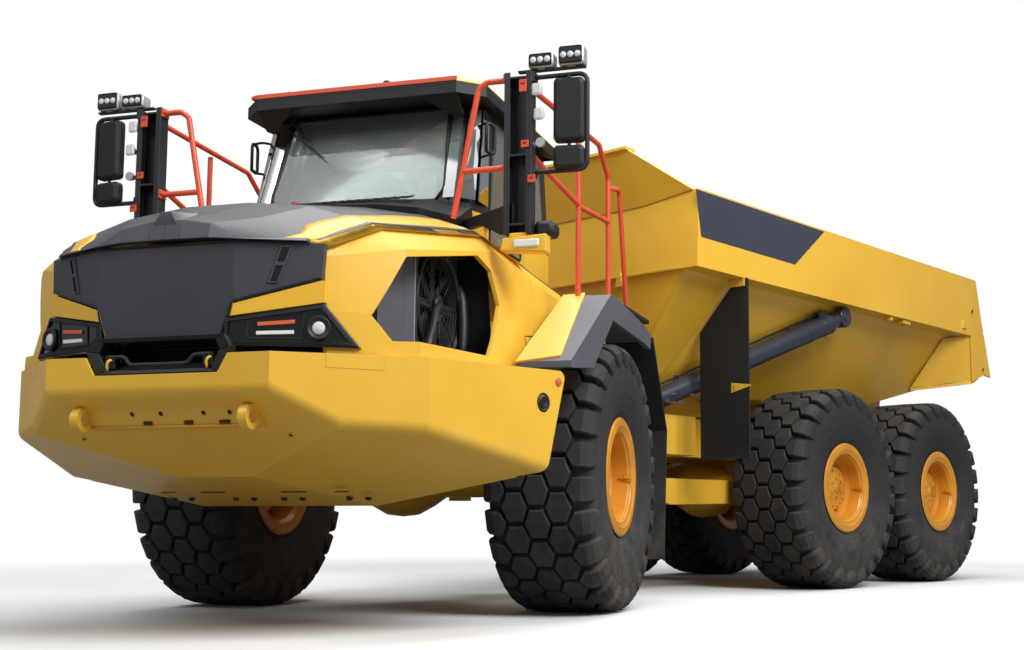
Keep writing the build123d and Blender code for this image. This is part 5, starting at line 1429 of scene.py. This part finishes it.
seat = Shape()
pad(seat, (0, 0.08, 2.735), (0.50, 0.52, 0.13), 0.03)
pad(seat, (0, 0.335, 3.04), (0.48, 0.13, 0.62), 0.0)
pad(seat, (0, 0.350, 3.44), (0.27, 0.10, 0.16), 0.0)
for side in (1, -1):
    pad(seat, (side * 0.215, 0.285, 3.02), (0.08, 0.13, 0.52), 0.0)
    pad(seat, (side * 0.225, 0.06, 2.79), (0.08, 0.44, 0.09), 0.0)
    pad(seat, (side * 0.330, 0.10, 2.93), (0.075, 0.36, 0.06), 0.0)
build("driver_seat", seat, "front_unit", seat_cloth)
tilt = Matrix.Translation((0, -0.515, 2.935)) @ Matrix.Rotation(math.radians(-32), 4, "X")
rim = Shape().pipe([(0.205 * math.cos(a), 0.205 * math.sin(a), 0.0) for a in HOOP], 0.014, 0.0, 10)
for a in (0.3, 2.84, 4.71):
    rim.pipe([(0.03 * math.cos(a), 0.03 * math.sin(a), -0.02), (0.2 * math.cos(a), 0.2 * math.sin(a), 0.0)],
             0.011, 0.0, 8)
rim.lathe([(-0.03, 0.0), (-0.03, 0.045), (0.0, 0.05), (0.008, 0.03), (0.008, 0.0)],
          (0, 0, 0), Z_AXIS, 24, False)
build("steering_wheel", Shape().merge(rim, tilt), "front_unit", black_plastic)
lattice = Shape()
WINDOW_Y, WINDOW_LOW, WINDOW_TOP = 0.735, 2.92, 3.38
for x0, x1 in ((-0.66, -0.04), (0.04, 0.66)):
    wide, high, step = x1 - x0, 0.46, 0.042
    for k in range(int((wide + high) / step)):
        a = k * step
        for flip in (False, True):
            xa, xb = max(0.0, a - high), min(wide, a)
            if xb - xa < 0.01:
                continue
            ends = [(xa, a - xa), (xb, a - xb)]
            points = [((x1 - x) if flip else (x0 + x), WINDOW_Y, WINDOW_LOW + z) for x, z in ends]
            lattice.pipe(points, 0.0045, 0.0, 4)
    loop(lattice, [(x0, WINDOW_Y, WINDOW_LOW), (x1, WINDOW_Y, WINDOW_LOW), (x1, WINDOW_Y, WINDOW_TOP),
                   (x0, WINDOW_Y, WINDOW_TOP)], 0.009)
build("rear_window_screens", lattice, "front_unit", black_metal)
screens = Shape()
screens.box((0.38, -0.50, 2.96), (0.20, 0.03, 0.15), Matrix.Rotation(-0.5, 3, "Z"))
screens.box((0.40, -0.47, 2.82), (0.03, 0.03, 0.16))
screens.box((-0.52, 0.15, 2.90), (0.16, 0.40, 0.10))
screens.box((0.0, -0.44, 3.47), (0.70, 0.05, 0.05))
build("cab_console_screens", screens, "front_unit", black_plastic, bevel=0.008)

# %% [markdown]
# ## Masts, mirrors and work lamps
# Each mast is an open channel on an arm. It carries two moulded mirrors in a bent tube and two
# work lamps on a bar. The shells are boxes with rolled edges and a glass let into the back, and
# a lamp is a housing with a bezel, three lenses and a row of cooling fins.


# %% Mast channel, arm and loop
def rounded_box(shape, centre, size, radius, turn=None, steps=4):
    """Box with rolled edges on its outline, as a moulded shell."""
    sx, sy, sz = (s / 2 for s in size)
    corners = [(sx, sz, 0), (-sx, sz, 90), (-sx, -sz, 180), (sx, -sz, 270)]
    outline = []
    for x, z, start in corners:
        cx, cz = x - math.copysign(radius, x), z - math.copysign(radius, z)
        for k in range(steps + 1):
            a = math.radians(start + 90 * k / steps)
            outline.append((cx + radius * math.cos(a), cz + radius * math.sin(a)))
    rings = []
    for inset, depth in ((radius * 0.7, -sy), (0.0, -sy + radius * 0.7), (0.0, sy - radius * 0.7),
                         (radius * 0.7, sy)):
        ring = []
        for x, z in outline:
            point = Vector((x * (1 - inset / sx), depth, z * (1 - inset / sz)))
            ring.append((turn @ point if turn is not None else point) + Vector(centre))
        rings.append(ring)
    return shape.skin(rings)


mast = Shape()
MAST_MIDDLE, MAST_HEIGHT = 2.917, 1.034
for x, y, sx, sy in ((1.33, -1.261, 0.18, 0.012), (1.246, -1.30, 0.012, 0.09), (1.414, -1.30, 0.012, 0.09)):
    mast.box((x, y, MAST_MIDDLE), (sx, sy, MAST_HEIGHT))
for x in (1.262, 1.398):
    mast.box((x, -1.339, MAST_MIDDLE), (0.030, 0.010, MAST_HEIGHT))
for z in (2.46, 2.90, 3.40):
    mast.box((1.33, -1.300, z), (0.160, 0.080, 0.012))
run = Vector((-0.585, 0.435, 0)).normalized()
across_run = Vector((run.y, -run.x, 0)) * 0.022
arm = [(0.045, 2.43), (0.18, 2.43), (0.42, 2.54), (0.700, 2.54), (0.700, 2.61), (0.045, 2.61)]
mast.plate([Vector((1.33, -1.30, z)) + run * s + across_run for s, z in arm], across_run * -2)
mast.pipe([(1.40, -1.30, 3.40), (1.770, -1.30, 3.40), (1.770, -1.30, 2.79), (1.40, -1.30, 2.79)],
          0.015, 0.06, 14)
mast.pipe([(1.655, -1.305, 3.40), (1.655, -1.305, 2.79)], 0.011, 0.0, 10)
mast.box((1.54, -1.30, 3.443), (0.44, 0.034, 0.014))
for z in (3.40, 2.79):
    mast.box((1.425, -1.300, z), (0.022, 0.075, 0.060))
    for y in (-1.278, -1.322):
        hex_head(mast, (1.436, y, z), X_AXIS, 0.010, 0.008)
mast_piece = build("mast_frames", mast.mirrored(), "front_unit", black_metal, bevel=0.002)
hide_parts("masts")
mast_clips = Shape()
for x, z, high in ((1.365, 3.340, 0.080), (1.425, 2.740, 0.050), (1.380, 2.965, 0.045)):
    mast_clips.box((x, -1.350, z), (0.050, 0.008, high))
    hex_head(mast_clips, (x, -1.354, z + high * 0.22), (0, -1, 0), 0.009, 0.007)
build("mast_clips", mast_clips.mirrored(), "front_unit", rail_red, bevel=0.001)

# %% Mirrors and work lamps
shells, panes, housings, bezels, fronts, leds = (Shape() for _ in range(6))
turn = Matrix.Rotation(math.radians(8), 3, "Z")
for z, high in ((3.170, 0.410), (2.868, 0.150)):
    rounded_box(shells, (1.655, -1.300, z), (0.195, 0.085, high), 0.030, turn)
    rounded_box(panes, (1.661, -1.257, z), (0.165, 0.006, high - 0.035), 0.018, turn)
for x, high in ((1.475, 0.095), (1.672, 0.125)):
    z = 3.452 + high / 2
    rounded_box(housings, (x, -1.290, z), (0.165, 0.100, high), 0.018)
    for k in range(6):
        housings.box((x - 0.06 + 0.024 * k, -1.232, z), (0.006, 0.024, high * 0.8))
    housings.box((x, -1.30, 3.450), (0.05, 0.04, 0.012))
    rounded_box(bezels, (x, -1.3425, z), (0.148, 0.008, high - 0.016), 0.012)
    for k in (-1, 0, 1):
        fronts.lathe([(0.0, 0.0), (0.0, 0.021), (0.006, 0.019), (0.010, 0.010), (0.011, 0.0)],
                     (x + k * 0.046, -1.345, z), (0, -1, 0), 20, False)
for x, z in ((1.455, 3.310), (1.470, 3.150), (1.475, 2.970)):
    if z > 3.0:
        rounded_box(leds, (x, -1.346, z), (0.066, 0.020, 0.078), 0.016)
    housings.lathe([(0.0, 0.0), (0.0, 0.014), (0.045, 0.030), (0.060, 0.030), (0.060, 0.0)],
                   (x, -1.280, z), (0, -1, 0), 24, False)
    housings.box((1.435, -1.300, z), (0.04, 0.02, 0.02))
build("mirror_shells", shells.mirrored(), "front_unit", black_plastic, angle=20)
build("mirror_panes", panes.mirrored(), "front_unit", mirror_glass, angle=20)
build("work_lamp_housings", housings.mirrored(), "front_unit", silver, bevel=0.001)
build("work_lamp_bezels", bezels.mirrored(), "front_unit", black_plastic, angle=20)
build("work_lamp_lenses", fronts.mirrored(), "front_unit", lens_clear)
build("mast_led_lenses", leds.mirrored(), "front_unit", lens_clear)
bracket = Shape().plate([(1.22, -1.352, 2.295), (1.52, -1.352, 2.275), (1.52, -1.352, 2.390),
                         (1.24, -1.352, 2.375)], (0, 0.102, 0))
bracket.box((1.33, -1.30, 2.395), (0.12, 0.06, 0.03))
build("mast_foot_brackets", bracket.mirrored(), "front_unit", yellow, bevel=0.008)
foot_lens = rounded_box(Shape(), (1.395, -1.356, 2.334), (0.165, 0.018, 0.050), 0.012)
build("mast_foot_lenses", foot_lens.mirrored(), "front_unit", lens_white, angle=20)
foot_cowl = rounded_box(Shape(), (1.485, -1.215, 2.440), (0.13, 0.15, 0.10), 0.035)
build("mast_foot_cowls", foot_cowl.mirrored(), "front_unit", black_plastic, angle=20)

# %% [markdown]
# ## Load body
# The stripe on each side is a coat of paint, so it lies on the plate as a thin skin. Lugs, clips
# and brackets are small plates. Weld beads run where the plates meet, and at the tail the side
# plates reach down to a chute that guides the load off.


# %% Stripe, lugs, brackets and welds
def bead(shape, points, radius=0.007):
    """Weld bead: a thin pipe whose radius ripples along its run."""
    for start, end in zip(points, points[1:]):
        way = Vector(end) - Vector(start)
        count = max(2, int(way.length / 0.05))
        ripples = [(way.length * (k + 0.5) / count, radius * (1.0 if k % 2 else 0.78)) for k in range(count)]
        shape.lathe([(0.0, 0.0)] + ripples + [(way.length, 0.0)], start, way, 8, False)
    return shape


BODY_SIDE = 1.6515
stripe = Shape().plate([(BODY_SIDE, y, z) for y, z in (
    (2.150, 3.326), (4.190, 3.326), (3.660, 2.930), (2.220, 2.940))], (-0.002, 0, 0))
build("body_side_stripes", stripe.mirrored(), "load_body", decal_blue)
lugs = Shape()
for x in (0.83, -0.83):
    lugs.plate([(x - 0.045, 2.150, 2.610), (x + 0.045, 2.150, 2.610), (x + 0.020, 2.150, 2.735),
                (x - 0.010, 2.150, 2.735)], (0, 0.055, 0))
for side in (1, -1):
    for y, long in ((5.53, 0.05), (5.86, 0.16)):
        lugs.box((side * 1.585, y, 2.668), (0.09, long, 0.042))
        hex_head(lugs, (side * 1.585, y, 2.647), (0, 0, -1), 0.016, 0.014)
    lugs.box((side * 1.652, 7.18, 2.790), (0.030, 0.090, 0.080))
    lugs.box((side * 1.575, 2.862, 2.655), (0.150, 0.055, 0.068))
build("body_lugs", lugs, "load_body", yellow, bevel=0.004)
clip = Shape()
for side in (1, -1):
    clip.plate([(side * x, 2.845, z) for x, z in (
        (1.500, 1.800), (1.698, 1.774), (1.698, 1.762), (1.500, 1.712))], (0, 0.009, 0))
    for z in (1.772, 1.742):
        hex_head(clip, (side * 1.53, 2.845, z), (0, -1, 0), 0.009, 0.006)
build("flap_clips", clip, "load_body", yellow, bevel=0.001)
welds = Shape()
for side in (1, -1):
    bead(welds, [(side * 1.470, 2.60, 2.688), (side * 1.470, 7.20, 2.688)])
    bead(welds, [(side * 1.651, 4.30, 2.700), (side * 1.651, 4.30, 3.320)], 0.004)
bead(welds, [(-1.45, 2.118, 2.690), (1.45, 2.118, 2.690)], 0.006)
build("body_welds", welds, "load_body", yellow)
# The dark discs are painted shade for the depth of the drain holes, each in a yellow rim.
shade_disc = Shape()
ring = Shape()
for side in (1, -1):
    for y, z in ((7.40, 2.970), (7.64, 2.330)):
        shade_disc.lathe([(0.0, 0.0), (0.0, 0.024), (0.003, 0.024), (0.003, 0.0)],
                   (side * BODY_SIDE, y, z), (side, 0, 0), 24, False)
        ring.lathe([(0.0, 0.024), (0.004, 0.024), (0.004, 0.036), (0.0, 0.038)],
                   (side * 1.6520, y, z), (side, 0, 0), 24, False)
build("body_drain_hole_shade", shade_disc, "load_body", black_metal)
build("body_hole_rims", ring, "load_body", yellow)

TAIL_PLATES = [
    # the two faces of each plate on one side: the outer cheek, the slope and the floor
    [[(x, 7.360, 2.740), (x, 7.372, 2.175), (x, 7.830, 2.325), (x, 7.700, 2.740)] for x in (1.652, 1.632)],
    [[(1.060, 7.020, 2.110), (1.630, 7.400, 2.180), (1.630, 7.370, 2.700), (1.450, 7.060, 2.640)],
     [(1.060, 7.060, 2.115), (1.630, 7.440, 2.185), (1.630, 7.410, 2.700), (1.450, 7.100, 2.640)]],
    [[(1.060, 7.030, 2.080), (1.630, 7.390, 2.150), (1.630, 7.560, 2.215), (1.060, 7.500, 2.150)],
     [(1.060, 7.030, 2.125), (1.630, 7.390, 2.190), (1.630, 7.560, 2.255), (1.060, 7.500, 2.200)]],
]
tail = Shape()
for side in (1, -1):
    for faces in TAIL_PLATES:
        tail.skin([[(side * x, y, z) for x, y, z in face] for face in faces])
tail.plate([(-1.062, 7.480, 2.145), (1.062, 7.480, 2.145), (1.062, 7.560, 2.165), (-1.062, 7.560, 2.165)],
           (0, 0, 0.050))
build("body_tail_chute", tail, "load_body", yellow, bevel=0.003)

# %% [markdown]
# ## Cylinders
# A gland sleeve and collar close each hoist barrel, and a dark cap sits on the rod's eye. The
# sleeve is turned about the cylinder's own axis and rides the barrel, and the cap is turned
# about the eye's pin and rides the rod.


# %% Hoist glands, ports and eye caps
FOOT, EYE = Vector((0.690, 2.050, 1.430)), Vector((1.520, 4.715, 2.588))
COLLAR_END = 2.838
for side, word in ((1, "left"), (-1, "right")):
    foot, eye = (Vector((side * p.x, p.y, p.z)) for p in (FOOT, EYE))
    way = (eye - foot).normalized()
    sleeve = Shape().lathe([(2.530, 0.062), (2.530, 0.0965), (2.700, 0.0965), (2.704, 0.101), (2.830, 0.101),
                            (COLLAR_END, 0.094), (COLLAR_END, 0.062)], foot, way, 40, False)
    for s in (0.16, 1.35, 2.50):
        sleeve.lathe([(s, 0.094), (s, 0.0985), (s + 0.03, 0.0985), (s + 0.03, 0.094)], foot, way, 40, True)
    up = way.cross(X_AXIS).normalized()
    if up.z < 0:
        up = -up
    outward = (X_AXIS - way * way.x).normalized() * side
    for k in range(4):
        a = 0.3 + k * 0.55
        bolt_at = foot + way * COLLAR_END + (outward * math.cos(a) + up * math.sin(a)) * 0.080
        hex_head(sleeve, bolt_at, way, 0.012, 0.010)
    sleeve.plate([foot + way * s + up * 0.092 + outward * o for s, o in (
        (2.70, -0.03), (2.80, -0.03), (2.80, 0.04), (2.70, 0.04))], up * 0.052)
    build("hoist_gland_" + word, sleeve, f"hoist_barrel_{word}_body", hydraulic, bevel=0.002)
    line = Shape().pipe([foot + way * s + up * r + outward * o for s, r, o in (
        (2.750, 0.130, 0.005), (2.600, 0.132, 0.010), (0.450, 0.118, 0.012),
        (0.300, 0.096, 0.010))], 0.011, 0.05, 10)
    for s in (0.9, 1.6, 2.3):
        line.pipe([foot + way * s + up * r + outward * o for r, o in (
            (0.100, 0.034), (0.131, 0.030), (0.131, -0.008), (0.100, -0.012))], 0.006, 0.008, 8)
    build("hoist_port_pipe_" + word, line, f"hoist_barrel_{word}_body", black_metal)
    cap = Shape().lathe([(-0.040, 0.0955), (-0.040, 0.0985), (0.046, 0.0985), (0.052, 0.092), (0.052, 0.050),
                         (0.062, 0.047), (0.062, 0.0)], eye, (side, 0, 0), 40, False)
    cap.lathe([(-0.165, 0.059), (-0.165, 0.068), (-0.085, 0.068), (-0.075, 0.059)], eye, way, 32, False)
    build("hoist_eye_cap_" + word, cap, f"hoist_rod_{word}_body", hydraulic, bevel=0.002)

# %% [markdown]
# ## Rear frame fittings
# A bank of grease fittings and a pipe run sit on the frame beside the flap. The cross bar
# behind carries a red and an amber lamp on each side, in round guards under a bent bar.


# %% Tail lamps and frame fittings
guards, reds, ambers, fittings, frame_pipe = (Shape() for _ in range(5))
LAMP_Z, BAR_Y, BANK_X = 1.40, 7.196, 0.955
for side in (1, -1):
    hex_head(guards, (side * 0.46, 7.200, LAMP_Z), (0, 1, 0), 0.016, 0.012)
    for x, lens in ((0.60, reds), (0.72, ambers)):
        guards.lathe([(0.0, 0.0), (0.0, 0.058), (0.030, 0.058), (0.030, 0.050), (0.006, 0.046), (0.006, 0.0)],
                     (side * x, BAR_Y, LAMP_Z), (0, 1, 0), 32, False)
        lens.lathe([(0.006, 0.0), (0.006, 0.046), (0.026, 0.046), (0.034, 0.030), (0.036, 0.0)],
                   (side * x, BAR_Y, LAMP_Z), (0, 1, 0), 32, False)
    guards.pipe([(side * x, y, 1.478) for x, y in (
        (0.52, 7.198), (0.52, 7.245), (0.79, 7.245), (0.79, 7.198))], 0.006, 0.012, 8)
    for z, y in ((1.815, 2.65), (1.820, 2.74), (1.826, 2.83)):
        fittings.lathe([(0.0, 0.0), (0.0, 0.024), (0.022, 0.024), (0.022, 0.016), (0.050, 0.016),
                        (0.050, 0.0)], (side * BANK_X, y, z - 0.16), Z_AXIS, 6, False)
    fittings.box((side * BANK_X, 2.74, 1.655), (0.075, 0.30, 0.014))
    frame_pipe.pipe([(side * BANK_X, 2.65, 1.700), (side * 0.985, 2.72, 1.735), (side * 1.020, 2.95, 1.745),
                     (side * 0.985, 3.20, 1.640)], 0.016, 0.06, 10)
build("tail_lamp_guards", guards, "rear_unit", black_metal, bevel=0.001)
build("tail_lamp_red_lenses", reds, "rear_unit", lens_red)
build("tail_lamp_amber_lenses", ambers, "rear_unit", lens_orange)
build("grease_bank_fittings", fittings, "rear_unit", zinc, bevel=0.001)
build("frame_pipes", frame_pipe, "rear_unit", zinc)

# %% [markdown]
# ## Deck and rails
# Walkways get a raised tread of short crossed bars, joined in one mesh. Bolts hold the
# handrails' feet to the deck, and clamp plates hold them to the masts.


# %% Deck tread and rail feet
tread = Shape()
for i in range(15):
    for j in range(14):
        x, y = 0.905 + 0.048 * i, 0.260 + 0.055 * j + (0.0275 if i % 2 else 0.0)
        if x < 1.595 and y < 1.0:
            turn_by = math.radians(45 if (i + j) % 2 else -45)
            tread.box((x, y, 2.203), (0.030, 0.009, 0.006), Matrix.Rotation(turn_by, 3, "Z"))
build("deck_tread_bars", tread.mirrored(), "front_unit", black_metal)
feet = Shape()
for x, y in ((1.45, -0.405), (1.45, 0.390), (1.45, 0.960)):
    for step_y in (-0.028, 0.028):
        hex_head(feet, (x, y + step_y, 2.206), Z_AXIS, 0.009, 0.010)
for z in (3.400, 2.832):
    feet.box((1.236, -1.300, z), (0.012, 0.080, 0.060))
    for step_y in (-0.028, 0.028):
        hex_head(feet, (1.230, -1.300 + step_y, z), (-1, 0, 0), 0.008, 0.007)
build("handrail_feet", feet.mirrored(), "front_unit", rail_red, bevel=0.001)

# %% [markdown]
# ## Size
# The drawn truck is meant to fill the same box as the CAD model, so the box round each is worked
# out and shown as the last value.


# %% The two boxes
def plain(value):
    if isinstance(value, dict):
        return [plain(item) for item in value.values()]
    try:
        return float(value)
    except TypeError:
        return [plain(item) for item in value]


scene_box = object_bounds()
{"cad_box": plain(cad_box), "scene_box": plain(scene_box)}
print("pieces drawn:", len(pieces))
